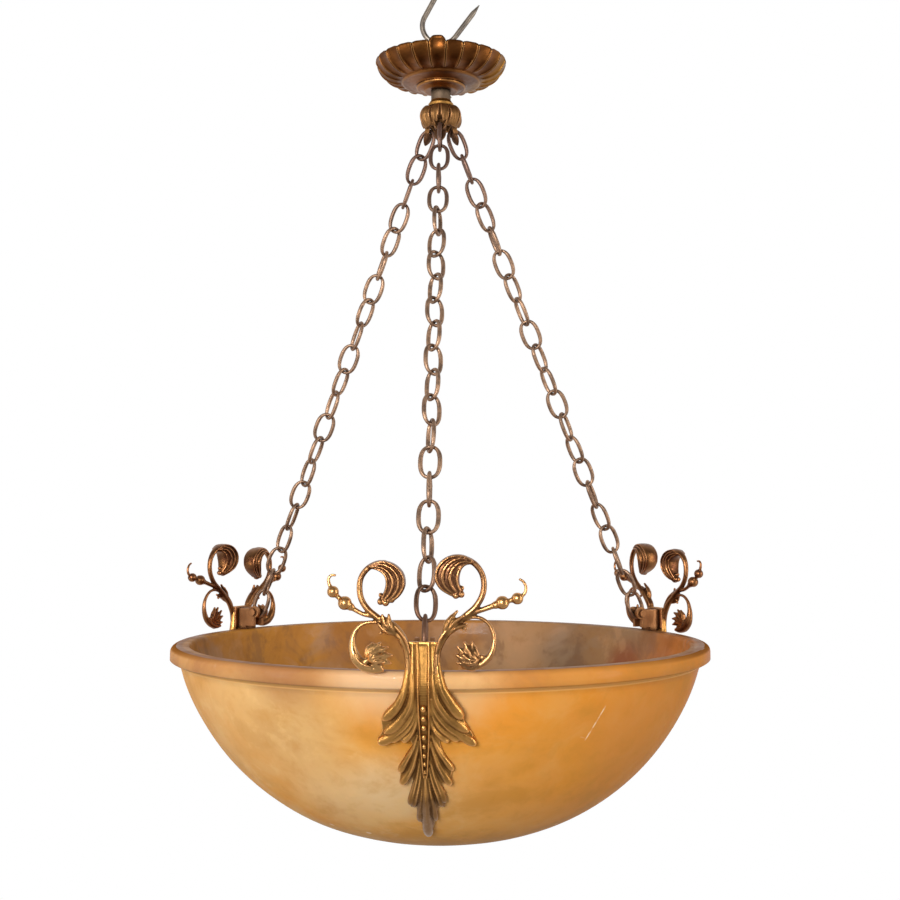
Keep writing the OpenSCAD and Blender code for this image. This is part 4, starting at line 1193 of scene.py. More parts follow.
class LeafPieces(bpy.types.Operator):
    """The cast leaves with their stems, and the beads down the middle of each"""

    bl_idname = "bowl_light.leaves"
    bl_label = "Leaves"

    def execute(self, context):
        casting = leaf_casting("leaf_casting_a")
        ball = Shell()
        ball.ball((0, 0, 0), 1.0, steps=8)
        source = ball.object("bead_shape")
        spots = [(leaf_point(u, z, 2.1), (0, 0, 0), 1.34 - 0.05 * i) for i, (u, z) in enumerate(BEADS)]
        beads = on_points("beads_a", spots, source, finish("gilt"), shape().bead / MM)
        drop(source)
        for (key, leaf), (_, row) in zip(on_brackets(casting, "leaf_casting_"), on_brackets(beads, "beads_")):
            dress(leaf, finish("gilt"))
            dress(row, finish("gilt"))
            piece(leaf, "bowl_group", "leaf_bronze", ["leaf_" + key])
            piece(row, "bowl_group", "leaf_bronze")
        return {"FINISHED"}


# Scrolls

ARM_Y = -227.0


def value_at(value, t):
    """A number, or one read at t from a list spread evenly from 0 to 1"""
    if isinstance(value, (int, float)):
        return value
    return float(np.interp(t, np.linspace(0, 1, len(value)), value))


def arm_tube(shell, path, wide, high, y=0.0):
    """A rod in the bracket's plane: (across, height) points, half width in the plane, half depth"""
    pts = spline(path, max(16, 6 * len(path)))
    ts = [i / (len(pts) - 1) for i in range(len(pts))]
    rows = [(p[0], ARM_Y - value_at(y, t), p[1] + RIM_Z) for p, t in zip(pts, ts)]
    shell.sweep(rows, (0, -1, 0), [value_at(wide, t) for t in ts], [value_at(high, t) for t in ts])


def arm_ball(shell, p, r, y=0.0, squash=(1, 1, 1)):
    shell.ball((p[0], ARM_Y - y, p[1] + RIM_Z), r, squash)


def crown_leaf(s, outer, inner, depth, knobs):
    """A scooped leaf between two edges: broad folds that run to its scalloped tip, with knobs at its end"""
    n = 9
    out, inn = spline(outer, n), spline(inner, n)
    gap = [float(np.linalg.norm(o - i)) for o, i in zip(out, inn)]
    ridges = [(0.02, 0.085, 0.96), (0.30, 0.135, 0.92), (0.62, 0.125, 1.0), (0.93, 0.095, 0.86)]
    valleys = [(0.16, 0.10, 0.78), (0.46, 0.10, 0.78), (0.78, 0.10, 0.78)]
    for k, width, rise in ridges + valleys:
        path = [tuple(o + (i - o) * k) for o, i in zip(out, inn)]
        deep = []
        for j in range(n):
            t = min(0.94, max(0.14, 0.12 + 0.86 * j / (n - 1)))
            deep.append(depth * rise * math.sin(math.pi * t) ** 0.6)
        arm_tube(s, path, [max(0.9, width * g + 0.2) for g in gap], deep, 0.4)
    for place, r in knobs:
        arm_ball(s, place, r, 1.4, (1, 1.5, 1.1))


def leaflets(s, root, tips, wide, y=0.0):
    """A spray of small round-tipped leaves with a crease down each"""
    bow = 0.10
    for tip, lift in tips:
        dx, dz = tip[0] - root[0], tip[1] - root[1]
        path = [root, (root[0] + dx * 0.55 - dz * bow, root[1] + dz * 0.55 + dx * bow), tip]
        rise = [y, y + lift, y + lift * 0.6]
        arm_tube(s, path, [0.9, wide, wide * 1.05, 0.9], [0.8, 1.9, 1.8, 1.0], rise)
        arm_tube(s, path, [0.5, 0.55, 0.4], [1.0, 2.7, 1.4], rise)
        arm_ball(s, tip, 1.0, rise[2], (1, 1.2, 1))


def left_arm(s):
    """The left arm: its rod, curl and low scroll, its berries and small leaves"""
    # The rod up from the stem, and the leaf that laps it
    arm_tube(
        s, [(-9.6, -1), (-9.6, 8), (-11.3, 16.5), (-16, 24.6), (-22.5, 30.6), (-27.5, 34.2)],
        [2.0, 2.3, 2.6, 2.4, 2.1], [2.0, 2.3, 2.6, 2.4, 2.0],
    )
    arm_tube(
        s, [(-8.6, 13), (-11.4, 22.2), (-16.6, 29.6), (-23.4, 35), (-28, 37.2)], [1.0, 1.5, 1.8, 1.5],
        [1.8, 3.2, 3.2, 2.0], 1.0,
    )

    # The curl and its crown leaf
    arc = [
        (-24, 32.6), (-30.5, 37), (-37, 42.4), (-41.3, 49), (-42.7, 56.6), (-41.6, 64), (-37.2, 70),
        (-31, 73.4), (-25, 74),
    ]
    arm_tube(s, arc, [2.3, 2.3, 2.2, 2.1, 2.0, 2.0, 1.8], [2.4, 2.3, 2.2, 2.2, 2.5, 3.6, 4.4])
    outer = [
        (-36, 71.6), (-29, 74.6), (-21.5, 73.6), (-15, 68.8), (-12.2, 61.6), (-14.4, 54), (-20, 48.6),
        (-26.4, 46.4),
    ]
    inner = [
        (-35, 70.6), (-29.5, 68.6), (-25.4, 65), (-24.4, 60), (-25.2, 56), (-26.4, 52.6), (-27.6, 50),
        (-28.6, 47.6),
    ]
    knobs = [((-28.4, 47.8), 2.2), ((-24.8, 47.0), 2.3), ((-20.6, 48.8), 1.9), ((-28.2, 52.2), 1.5)]
    crown_leaf(s, outer, inner, 7.6, knobs)

    # The low scroll and its sprays
    low = [
        (-23.5, 30.6), (-31, 33.6), (-38.6, 33.2), (-44.2, 29.4), (-47, 23.6), (-47.4, 16.6), (-45, 9.6),
        (-40, 4.6), (-33, 2.2), (-26, 2.0),
    ]
    arm_tube(
        s, low, [1.4, 1.3, 1.3, 1.4, 1.8, 2.7, 3.7, 3.7, 2.8, 1.4],
        [1.4, 1.3, 1.3, 1.4, 1.8, 2.7, 3.4, 3.4, 2.6, 1.4],
    )
    arm_tube(
        s, [(-45.4, 13), (-43.4, 8.6), (-39.2, 5.4), (-34, 4.2)], [0.5, 0.7, 0.7, 0.4],
        [0.8, 1.0, 1.0, 0.6], 2.8,
    )
    tips = [
        ((-33.6, 19.6), 1.6), ((-28.4, 19.8), 2.6), ((-23.4, 17.0), 2.2), ((-20.6, 11.6), 2.6),
        ((-21.6, 6.4), 1.8), ((-27.0, 2.2), 1.4),
    ]
    leaflets(s, (-36.8, 7.0), tips, 2.8)
    leaflets(s, (-36.0, 7.6), [((-30.6, 15.4), 2.0), ((-26.4, 12.2), 2.4), ((-26.4, 7.2), 2.0)], 1.9, 2.0)
    arm_ball(s, (-38.2, 7.6), 2.4, 0.8)

    # The berries on their stalk, and its curled end
    arm_tube(s, [(-25.6, 34.4), (-33, 37.6), (-40.6, 39.4), (-49, 44)], [1.7, 1.6, 1.5, 1.8], 1.8)
    arm_ball(s, (-52.7, 46.6), 4.8)
    arm_ball(s, (-48.6, 44.0), 2.7)
    arm_tube(s, [(-54, 47.8), (-57.4, 50.8), (-60, 53.4)], [1.8, 1.6, 2.0], 1.8)
    arm_ball(s, (-60.8, 54.2), 4.1)
    arm_tube(
        s, [(-61.4, 55.6), (-63.4, 59.4), (-63.8, 63.2), (-61.8, 65.4), (-58.8, 65.2)],
        [1.6, 1.3, 1.1, 1.0, 0.9], [1.6, 1.3, 1.1, 1.0, 0.9],
    )

    # Small leaves at the fork
    leaflets(s, (-17.5, 25.5), [((-27.0, 38.6), 2.2), ((-22.6, 38.8), 2.6), ((-29.6, 33.0), 2.0)], 1.9, 0.8)
    arm_tube(s, [(-20.6, 31), (-25, 30.4), (-27.6, 27.0)], [1.1, 1.6, 0.7], [1.4, 1.7, 0.8], 1.4)
    arm_ball(s, (-27.9, 26.6), 1.2, 1.2)


def right_arm(s):
    """The right arm: its rod, curl and low scroll, its berries and small leaves"""
    # The rod up from the stem, and the leaf that laps it
    arm_tube(
        s, [(9.8, -1), (9.7, 8), (10.6, 15.5), (14.4, 23.4), (20.6, 30.6), (27.6, 36.6)],
        [2.1, 2.3, 2.5, 2.3, 2.1], [2.2, 2.4, 2.5, 2.3, 2.0],
    )
    arm_tube(
        s, [(9.4, 14), (12.6, 23.6), (18.4, 30.8), (24, 36.4)], [1.0, 1.5, 1.7, 1.2], [1.8, 3.1, 3.1, 1.6],
        1.0,
    )

    # The curl and its crown leaf
    arc = [
        (23, 33), (29.4, 38.6), (35.4, 43.8), (39.8, 50.6), (41.6, 58.4), (40.2, 66.6), (35.6, 73),
        (29, 76.8), (22.6, 77.6),
    ]
    arm_tube(s, arc, [2.2, 2.2, 2.2, 2.1, 2.0, 2.0, 1.8], [2.4, 2.3, 2.2, 2.2, 2.5, 3.6, 4.4])
    outer = [
        (34, 75.2), (26.6, 78.8), (18.6, 78.0), (12.2, 73.4), (9.0, 66.6), (10.6, 59.4), (16.4, 54.0),
        (24.0, 50.6),
    ]
    inner = [
        (33, 73.6), (28.4, 72.2), (25.6, 68.4), (24.6, 63.6), (24.8, 60.0), (25.6, 57.0), (26.4, 54.6),
        (26.6, 52.2),
    ]
    knobs = [((26.4, 52.8), 2.2), ((22.6, 52.0), 2.2), ((18.4, 54.2), 1.8), ((26.8, 57.0), 1.5)]
    crown_leaf(s, outer, inner, 7.8, knobs)

    # The low scroll and its sprays
    low = [
        (22.6, 31), (28, 35.4), (34.6, 37.4), (41, 36), (46, 31), (48.4, 24), (47.4, 15.8), (43.8, 9.4),
        (38, 5.0), (31.6, 3.4), (26, 4.0),
    ]
    arm_tube(
        s, low, [1.4, 1.3, 1.3, 1.3, 1.4, 1.6, 2.0, 2.4, 2.4, 1.9, 1.0],
        [1.4, 1.3, 1.3, 1.3, 1.5, 1.9, 2.4, 2.8, 2.6, 2.0, 1.2],
    )
    tips = [
        ((33.4, 20.6), 1.6), ((28.6, 20.4), 2.6), ((24.2, 17.4), 2.2), ((22.6, 12.4), 2.6),
        ((23.6, 7.0), 1.8), ((29.6, 3.0), 1.4),
    ]
    leaflets(s, (39.2, 8.4), tips, 2.8)
    leaflets(s, (38.0, 8.6), [((31.4, 15.8), 2.0), ((27.6, 12.4), 2.4), ((28.0, 7.6), 2.0)], 1.9, 2.0)
    arm_ball(s, (40.4, 10.6), 2.2, 0.8)

    # The berries on their stalk, and its curled end
    arm_tube(
        s, [(22.5, 34), (30.8, 39), (42, 43), (49.6, 45.8)], [1.7, 2.0, 1.8, 2.1], [1.8, 2.1, 1.8, 1.9],
    )
    arm_ball(s, (53.9, 47.2), 4.7)
    arm_ball(s, (49.4, 45.6), 2.7)
    arm_tube(s, [(55, 47.6), (59, 48.6), (62.6, 49.6)], [1.8, 1.6, 2.1], 1.8)
    arm_ball(s, (64.0, 50.0), 4.1)
    arm_tube(
        s, [(65.6, 50.8), (69, 53.6), (69.8, 57.6), (68.2, 61.2), (65.2, 63.2)], [1.5, 1.2, 1.1, 1.0, 0.9],
        [1.5, 1.2, 1.1, 1.0, 0.9],
    )

    # Small leaves at the fork
    leaflets(
        s, (15.0, 24.0),
        [((23.4, 41.4), 2.4), ((27.4, 38.2), 2.6), ((29.6, 32.6), 2.0), ((19.6, 38.4), 1.6)], 1.9, 0.8,
    )
    arm_tube(s, [(17.4, 26.6), (22.6, 30.4), (27.2, 30.6)], [0.9, 1.6, 0.7], [1.2, 1.7, 0.8], 1.6)
    arm_ball(s, (28.2, 29.8), 1.3, 1.4)


def scroll_casting(name):
    """Both arms, the root plate behind the stem and its two posts, fused into one casting"""
    s = Shell()
    left_arm(s)
    right_arm(s)
    corners = ((-11, -225.2), (11, -225.2), (11, -222.4), (-11, -222.4))
    verts = [(x, y, z + RIM_Z) for z in (1.3, 20.4) for x, y in corners]
    s.add(verts, [(0, 1, 2, 3), (7, 6, 5, 4), (0, 4, 5, 1), (1, 5, 6, 2), (2, 6, 7, 3), (3, 7, 4, 0)])
    for side in (-1, 1):
        arm_tube(s, [(side * 9.7, 1.6), (side * 9.7, 17)], 1.6, 3.4, -1.4)
    return fused(s.object(name), metal().voxel)


class ScrollPieces(bpy.types.Operator):
    """The scroll arms with curled leaves, low scrolls and berry shoots"""

    bl_idname = "bowl_light.scrolls"
    bl_label = "Scrolls"

    def execute(self, context):
        for key, ob in on_brackets(scroll_casting("scroll_arms_a"), "scroll_arms_"):
            # Painted shade: the rear brackets' scrolls take the darker, shaded copy of the bronze
            dress(ob, finish("bronze" if BRACKETS[key] == FRONT else "bronze_dark"))
            piece(ob, "bowl_group", "scroll_bronze", ["scrolls_" + key])
        return {"FINISHED"}


# Chains


def link_mesh(name):
    """One link of round wire: a squarish oval, thickest at its sides, with a faint weld"""
    wire = shape().link_wire / MM
    half_w = shape().link_width / MM / 2
    half = (LINK_PITCH + wire + 0.3) / 2
    power = 2 / 2.45
    weld = 4
    dense = []
    for a in round_angles(720):
        c, t = math.cos(a), math.sin(a)
        dense.append((half_w * math.copysign(abs(c) ** power, c), half * math.copysign(abs(t) ** power, t)))
    pts = evenly(dense + dense[:1], 44, closed=True)
    rings = []
    for i, (x, z) in enumerate(pts):
        a, b = pts[i - 1], pts[(i + 1) % len(pts)]
        t = Vector((b[0] - a[0], 0, b[1] - a[1])).normalized()
        side = Vector((t.z, 0, -t.x))
        thick = 1 + (shape().link_swell - 1) * (1 - min(1, abs(z) / half * 1.12) ** 3)
        r = wire / 2 * thick * (1 + 0.06 * math.exp(-(((i - weld) / 0.7) ** 2)))
        across, depth = side * r, Vector((0, r, 0))
        section = [across * math.cos(q) + depth * math.sin(q) for q in round_angles(12)]
        rings.append([tuple(Vector((x, 0, z)) + p) for p in section])
    s = Shell()
    s.rings(rings, close_path=True)
    return s.object(name)


def chain_spots(direction):
    """Each link's place and turn down a leaning chain, a right angle and a little twist from the last"""
    around = Matrix.Rotation(math.radians(direction), 4, "Z")
    lean = Matrix.Rotation(-CHAIN_LEAN, 4, "Y")
    claw = around @ Matrix.Translation((CLAW_R, 0, CLAW_Z)) @ lean
    links, twists = zip(*FRONT_TWIST)
    spots = []
    for i in range(1, CHAIN_LINKS + 1):
        twist = np.interp(i, links, twists) if direction == FRONT else SIDE_TWIST * (i - 1)
        roll = Matrix.Rotation(math.radians(90 * (i - 1) - twist), 4, "Z")
        m = claw @ Matrix.Translation((0, 0, -(i - 0.5) * LINK_PITCH)) @ roll
        spots.append((tuple(m.to_translation()), tuple(m.to_euler("XYZ")), 1.0))
    return spots


class ChainPieces(bpy.types.Operator):
    """The three chains of welded oval links"""

    bl_idname = "bowl_light.chains"
    bl_label = "Chains"

    def execute(self, context):
        source = link_mesh("link_shape")
        for (key, direction), node in zip(CHAIN_DIRS.items(), ("chain_a", "chain_b", "chain_c")):
            ob = on_points("links_" + key, chain_spots(direction), source, finish("chain"))
            piece(ob, "chain_" + key, "chain_bronze", [node])
        drop(source)
        return {"FINISHED"}


# Rose

# The dish's round wall, as an arc: its centre, its outer and inner radius, and its first and last angle
WALL_R, WALL_Z = 34.94, ROSE_Z + 6.49
WALL_OUTSIDE, WALL_INSIDE = 23, 21.6
WALL_FROM, WALL_TO, WALL_STEPS = -88.6, -16.4, 16
# The stepped rings under the dish, as (radius, height over the rose's base)
ROSE_RINGS = [
    (5.4, 0.2), (9, 0.2), (12.6, 0.2), (13.6, 0.05), (14.6, 0.35), (15.2, 1.0), (17.4, 1.9), (19.0, 2.5),
    (19.8, 2.35), (20.6, 2.5), (21.2, 3.0), (21.5, 3.8), (21.3, 4.6), (20.9, 5.2), (23.6, 5.7), (27.2, 6.3),
    (30.4, 6.8), (31.6, 6.75), (32.8, 6.85), (33.8, 7.3), (34.5, 8.0), (34.6, 8.7),
]
ROSE_INSIDE = [(30.0, 9.0), (22.0, 7.0), (18, 4.2), (13, 1.9), (5.4, 1.6)]


def wall_point(radius, i):
    """A point on the dish's wall as (radius, height, the way it faces in degrees)"""
    a = WALL_FROM + (WALL_TO - WALL_FROM) * i / WALL_STEPS
    return WALL_R + radius * math.cos(math.radians(a)), WALL_Z + radius * math.sin(math.radians(a)), a


def petal_lift(a, outside):
    """How far a petal stands proud at a, from -1 to 1 across it: raised ridges beside a hollow"""
    cup = -1.0 * max(0.0, 1 - (a / 0.80) ** 2) ** 0.8
    crown, seam = (abs(a) - 0.90) / 0.07, (abs(a) - 1.0) / 0.04
    ridge = 0.75 * math.exp(-(crown**2)) - 0.15 * math.exp(-(seam**2))
    return ridge + cup if outside else 0.75 * cup


def rose_sector(name, count):
    """One petal of the rose with its share of the rings, from the stem's hole to the rim"""
    half = math.pi / count
    # Rows as (radius, height, how far the petal's shape shows, the way it faces, on the outside)
    rows = [(r, ROSE_BASE + z, 0, -90, True) for r, z in ROSE_RINGS]
    for i in range(WALL_STEPS + 1):
        r, z, a = wall_point(WALL_OUTSIDE, i)
        rows.append((r, z, min(1, i / 3.0 + 0.2), a, True))
    rows.append((ROSE_R + 0.1, ROSE_Z - 0.1, 0.7, -16, True))
    rows.append((ROSE_R - 0.3, ROSE_Z, 0.4, 90, True))
    rows.append((ROSE_R - 1.2, ROSE_Z, 0.2, 90, True))
    for i in range(WALL_STEPS, -1, -1):
        r, z, a = wall_point(WALL_INSIDE, i)
        rows.append((r, min(z, ROSE_Z - 0.2), min(1, i / 3.0), a, False))
    rows += [(r, ROSE_BASE + z, 0, 90, False) for r, z in ROSE_INSIDE]
    near_ridges = [sign * a for sign in (-1, 1) for a in (0.79, 0.83, 0.87, 0.91, 0.95)]
    across = sorted({round(v, 4) for v in list(np.linspace(-1, 1, 27)) + near_ridges})
    scallop = 6

    verts = []
    for r, z, shown, tilt, outside in rows:
        for a in across:
            d = shown * petal_lift(a, outside)
            end = max(0.0, (r - (ROSE_R - scallop)) / scallop)
            rr = r - 1.5 * end * abs(a) ** 4 + d * math.cos(math.radians(tilt))
            zz = z + d * math.sin(math.radians(tilt)) - 0.9 * end * abs(a) ** 4
            verts.append((rr * math.cos(a * half), rr * math.sin(a * half), min(zz, ROSE_Z)))
    n, m = len(across), len(rows)
    faces = []
    for i in range(m):
        j = (i + 1) % m
        for k in range(n - 1):
            faces.append((i * n + k, j * n + k, j * n + k + 1, i * n + k + 1))
    return mesh_object(name, verts, faces)


class RosePiece(bpy.types.Operator):
    """The fluted ceiling rose"""

    bl_idname = "bowl_light.rose"
    bl_label = "Ceiling rose"

    def execute(self, context):
        count = shape().flutes
        front = math.radians(FRONT)
        ob = rose_sector("ceiling_rose", count)
        shaped_by(ob, repeat_round, count=count, start=front, weld=2e-5, material=finish("copper"))
        # The front petal's tip is bent up
        bend, rise = 9, 4.6
        for v in ob.data.vertices:
            x, y, z = (c / MM for c in v.co)
            off = abs(math.atan2(y, x) - front) / (math.pi / count)
            if off < 1.0 and z > ROSE_Z - bend:
                t = (z - ROSE_Z + bend) / bend
                k = t * t * (1 - off**4)
                v.co.z += rise * k * MM
                v.co.x *= 1 - 0.050 * k
                v.co.y *= 1 - 0.050 * k
        shade_smooth(ob.data)
        outwards(ob)
        piece(ob, "rose", "rose_copper", ["canopy"])
        return {"FINISHED"}


# Hub and hook


def claw_tips():
    """The claws' pointed leaf ends, which lean with the chains; the front one is the longest"""
    tips = Shell()
    out, down = math.sin(CHAIN_LEAN), math.cos(CHAIN_LEAN)
    wide = [2.8, 4.9, 5.5, 5.2, 4.1, 2.5, 0.7]
    high = [2.0, 1.9, 1.8, 1.6, 1.4, 1.1, 0.5]
    for direction in CHAIN_DIRS.values():
        a = math.radians(direction)
        reach = 16.6 if direction == FRONT else 11.5
        path = []
        for d in [1.3] + [reach * k for k in (0.27, 0.42, 0.58, 0.74, 0.88, 1.0)]:
            r = CLAW_R + out * d
            path.append((r * math.cos(a), r * math.sin(a), CLAW_Z - down * d))
        tips.sweep(path, (math.cos(a), math.sin(a), 0), wide, high)
    return tips.object("claw_tips")


def petals_grooved(ob):
    """Grooves the hub's body between its petals and creases each petal's middle"""
    body_top, body_height, body_core = -145.6, 17.6, 11.5
    co = np.empty(len(ob.data.vertices) * 3)
    ob.data.vertices.foreach_get("co", co)
    co = co.reshape(-1, 3) / MM
    r = np.hypot(co[:, 0], co[:, 1])
    turn = np.degrees(np.arctan2(co[:, 1], co[:, 0])) - FRONT
    t = np.clip((body_top - co[:, 2]) / body_height, 0, 1)
    swell = np.sin(np.pi * t) ** 0.7 * np.clip((r - body_core) / 2.5, 0, 1)
    off = (turn + 15) % 30 - 15
    slit = np.exp(-((off / (1.7 + 1.6 * t)) ** 2))
    crease = np.exp(-((((turn + 30) % 30 - 15) / 2.4) ** 2)) * np.clip(1.4 * t - 0.25, 0, 1)
    push = (0.9 - 2.3 * slit + 0.8 * (1 - (off / 15) ** 2) - 0.5 * crease) * swell
    co[:, :2] *= (1 + push / np.maximum(r, 1))[:, None]
    ob.data.vertices.foreach_set("co", (co * MM).ravel())
    ob.data.update()


class HubPiece(bpy.types.Operator):
    """The cast hub: its body grooved into petals, and claws with their bores"""

    bl_idname = "bowl_light.hub"
    bl_label = "Chain hub"

    def execute(self, context):
        ob = placed("hub_casting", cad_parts["chain_hub"].data.copy())
        bm = bmesh.new()
        bm.from_mesh(ob.data)
        bmesh.ops.remove_doubles(bm, verts=bm.verts, dist=1e-6)
        bm.to_mesh(ob.data)
        bm.free()
        joined(ob, claw_tips())
        fused(ob, voxel=0.00038)
        petals_grooved(ob)
        dress(ob, finish("hub"))
        piece(ob, "lamp", "hub_bronze", ["chain_hub"])
        return {"FINISHED"}


class HookPiece(bpy.types.Operator):
    """The bent wire hook, its wire a little worn where the loop hangs, its end ground to a point"""

    bl_idname = "bowl_light.hook"
    bl_label = "Hook"

    def execute(self, context):
        # The top and lower bends as (height, radius, first and last angle), and the straight end
        bends = [(-11, 13, 205, -28.4), (-72.3, 16.2, 151.6, 323)]
        straight, steps, ground = 34, 16, 9.5
        path = []
        for z, r, first, last in bends:
            for a in np.radians(np.linspace(first, last, 40)):
                path.append((r * math.cos(a), 0, z + r * math.sin(a)))
        end_x, _, end_z = path[-1]
        for t in np.linspace(0.1, 1, steps):
            path.append((end_x + 0.602 * straight * t, 0, end_z + 0.799 * straight * t))
        thick = []
        for i, (_, _, z) in enumerate(path):
            r = 2.3 - 0.32 * math.exp(-(((z + 88.5) / 5) ** 2)) - 0.32 * math.exp(-((z / 3.5) ** 2))
            if i < 3:
                r *= 0.86 + 0.05 * i
            if i > 80:
                left = (len(path) - 1 - i) / steps * straight
                r *= min(1, 0.16 + 0.84 * left / ground)
            thick.append(r)
        s = Shell()
        s.sweep(path, (0, 1, 0), thick, thick, 20)
        ob = s.object("hook_wire")
        dress(ob, finish("steel"))
        piece(ob, "hook", "hook_steel", ["s_hook"])
        return {"FINISHED"}


# Lamps


def glass_shape():
    """A candle bulb's glass, 34 mm across and 72 mm long, on the lampholder's axis"""
    length, start = 72.0, 35.0
    outline = [
        (7.4, 1.5), (8.6, 4.5), (11.4, 8.6), (14.4, 15), (16.4, 22), (17.0, 28), (16.6, 35), (15.2, 43),
        (12.8, 51), (9.6, 58.5), (6.4, 64.5), (3.6, 69), (1.6, 71.6),
    ]
    profile = [(0.0, start - 1.0), (6.2, start - 0.6)]
    profile += [(float(r), start + float(z)) for r, z in spline(outline, 30)]
    profile.append((0.0, start + length))
    ob = mesh_object("glass_shape", *lathe(profile, 40))
    outwards(ob)
    return ob


def cap_shape():
    """The bulb's screw cap: seven turns of thread over a narrow tip"""
    low, height, threads, tip = 14.0, 20.6, 7, 0.1
    cap = Shell()
    rows = []
    for t in np.linspace(0, 1, 70):
        r = 6.35 + 0.3 * math.sin(2 * math.pi * threads * t)
        if t < tip:
            r = 3.0 + 3.3 * t / tip
        rows.append(ring(r, low + height * t, 32))
    cap.rings(rows)
    return cap.object("cap_shape")


def holder_shape():
    """A lampholder: a ribbed sleeve with a wider collar and an open bore"""
    outside = [
        (0.0, 10.2), (0.6, 11.2), (1.4, 11.5), (24.2, 11.5), (24.8, 11.9), (25.4, 12.8), (33.2, 13.0),
        (33.8, 12.6), (34.0, 12.0),
    ]
    bore = [(34.0, 7.2), (30, 7.1), (10, 7.1)]
    sleeve_r, ribs = 11.5, 18
    holder = Shell()
    holder.rings([ring(r, z, 48) for z, r in outside + bore])
    for a in round_angles(ribs):
        x, y = math.cos(a), math.sin(a)
        path = [(sleeve_r * x, sleeve_r * y, z) for z in np.linspace(4, 22, 5)]
        holder.sweep(path, (x, y, 0), [0.7, 0.8, 0.8, 0.8, 0.7], [0.5, 0.6, 0.6, 0.6, 0.5], 8)
    return holder.object("holder_shape")


class LampPieces(bpy.types.Operator):
    """Candle bulbs with screw caps, and ribbed lampholders"""

    bl_idname = "bowl_light.lamps"
    bl_label = "Lamps"

    def execute(self, context):
        glass, cap, holder = glass_shape(), cap_shape(), holder_shape()
        outward = Matrix.Translation((HOLDER_R * MM, 0, HOLDER_Z * MM)) @ Matrix.Rotation(math.pi / 2, 4, "Y")
        for (key, direction), node in zip(LAMP_DIRS.items(), ("bulb_a", "bulb_b", "bulb_c")):
            place = Matrix.Rotation(math.radians(direction), 4, "Z") @ outward
            for source, name, mat, body, slot_name, nodes in (
                (glass, "bulb_glass_", "glass", "bulb_" + key, "bulb_glass", [node]),
                (cap, "bulb_cap_", "brass", "bulb_" + key, "nut_brass", []),
                (holder, "lampholder_", "holder", "bowl_group", "holder_plastic", ["lampholders"]),
            ):
                ob = moved_copy(source, name + key, place)
                dress(ob, finish(mat))
                piece(ob, body, slot_name, nodes)
        for source in (glass, cap, holder):
            drop(source)
        return {"FINISHED"}


# Carried-over pieces

SOLIDS_FINISH = {
    "steel": ["s_hook"],
    "hub": ["suspension_loop", "chain_hub"],
    "brass": ["loop_nut", "hub_nut", "leaf_screws"],
    "collar": ["stem_tube", "canopy_collar"],
    "zinc": ["collar_screw", "lamp_spider"],
    "bead": ["hub_bead"],
    "saddle": ["rim_saddles", "chain_pins"],
    "gilt": ["stem_rivets", "leaf_a", "leaf_b", "leaf_c"],
    "rubber": ["screw_washers"],
    "copper": ["canopy"],
    "chain": ["chain_a", "chain_b", "chain_c"],
    "stone_outside": ["bowl"],
    "bronze": ["scrolls_a"],
    # The rear scrolls' darker bronze is painted shade
    "bronze_dark": ["scrolls_b", "scrolls_c"],
    "holder": ["lampholders"],
    "glass": ["bulb_a", "bulb_b", "bulb_c"],
}


class FittingFinishes(bpy.types.Operator):
    """Finishes of the solids: the fittings show them, and the replaced ones keep them underneath"""

    bl_idname = "bowl_light.fittings"
    bl_label = "Fittings"

    def execute(self, context):
        for mat, nodes in SOLIDS_FINISH.items():
            for node in nodes:
                dress(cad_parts[node], finish(mat))
        return {"FINISHED"}


# Stage

# The camera's place in metres before it is turned, its turn round the lamp and its look upwards
CAMERA_PLACE = (0.0079, -1.0952, 0.1049 - 0.605)
CAMERA_TURN, CAMERA_LOOK = 2.7, 2.99
CAMERA_LENS = 51.19


def stage_material(name, tone):
    """Pale for light and shadow, white to the camera; in reflections it darkens toward the room in front"""
    f = Finish(name)
    f.set(Base_Color=(tone, tone, tone), Roughness=0.9)
    room = f.node("ShaderNodeMapRange", Value=f.axes()["Y"], From_Min=-0.7, From_Max=0.9, To_Min=0.5)
    ray = f.node("ShaderNodeLightPath").outputs
    strength = f.math("MAXIMUM", room.outputs["Result"], ray["Is Camera Ray"])
    glow = f.node("ShaderNodeEmission", Strength=strength)
    seen = f.math("MAXIMUM", ray["Is Camera Ray"], ray["Is Glossy Ray"])
    mix = f.node("ShaderNodeMixShader", Fac=f.math("MAXIMUM", seen, ray["Is Transmission Ray"]))
    f.link(f.bsdf.outputs[0], mix.inputs[1])
    f.link(glow.outputs[0], mix.inputs[2])
    f.link(mix.outputs[0], f.nodes["Material Output"].inputs["Surface"])
    return f.mat


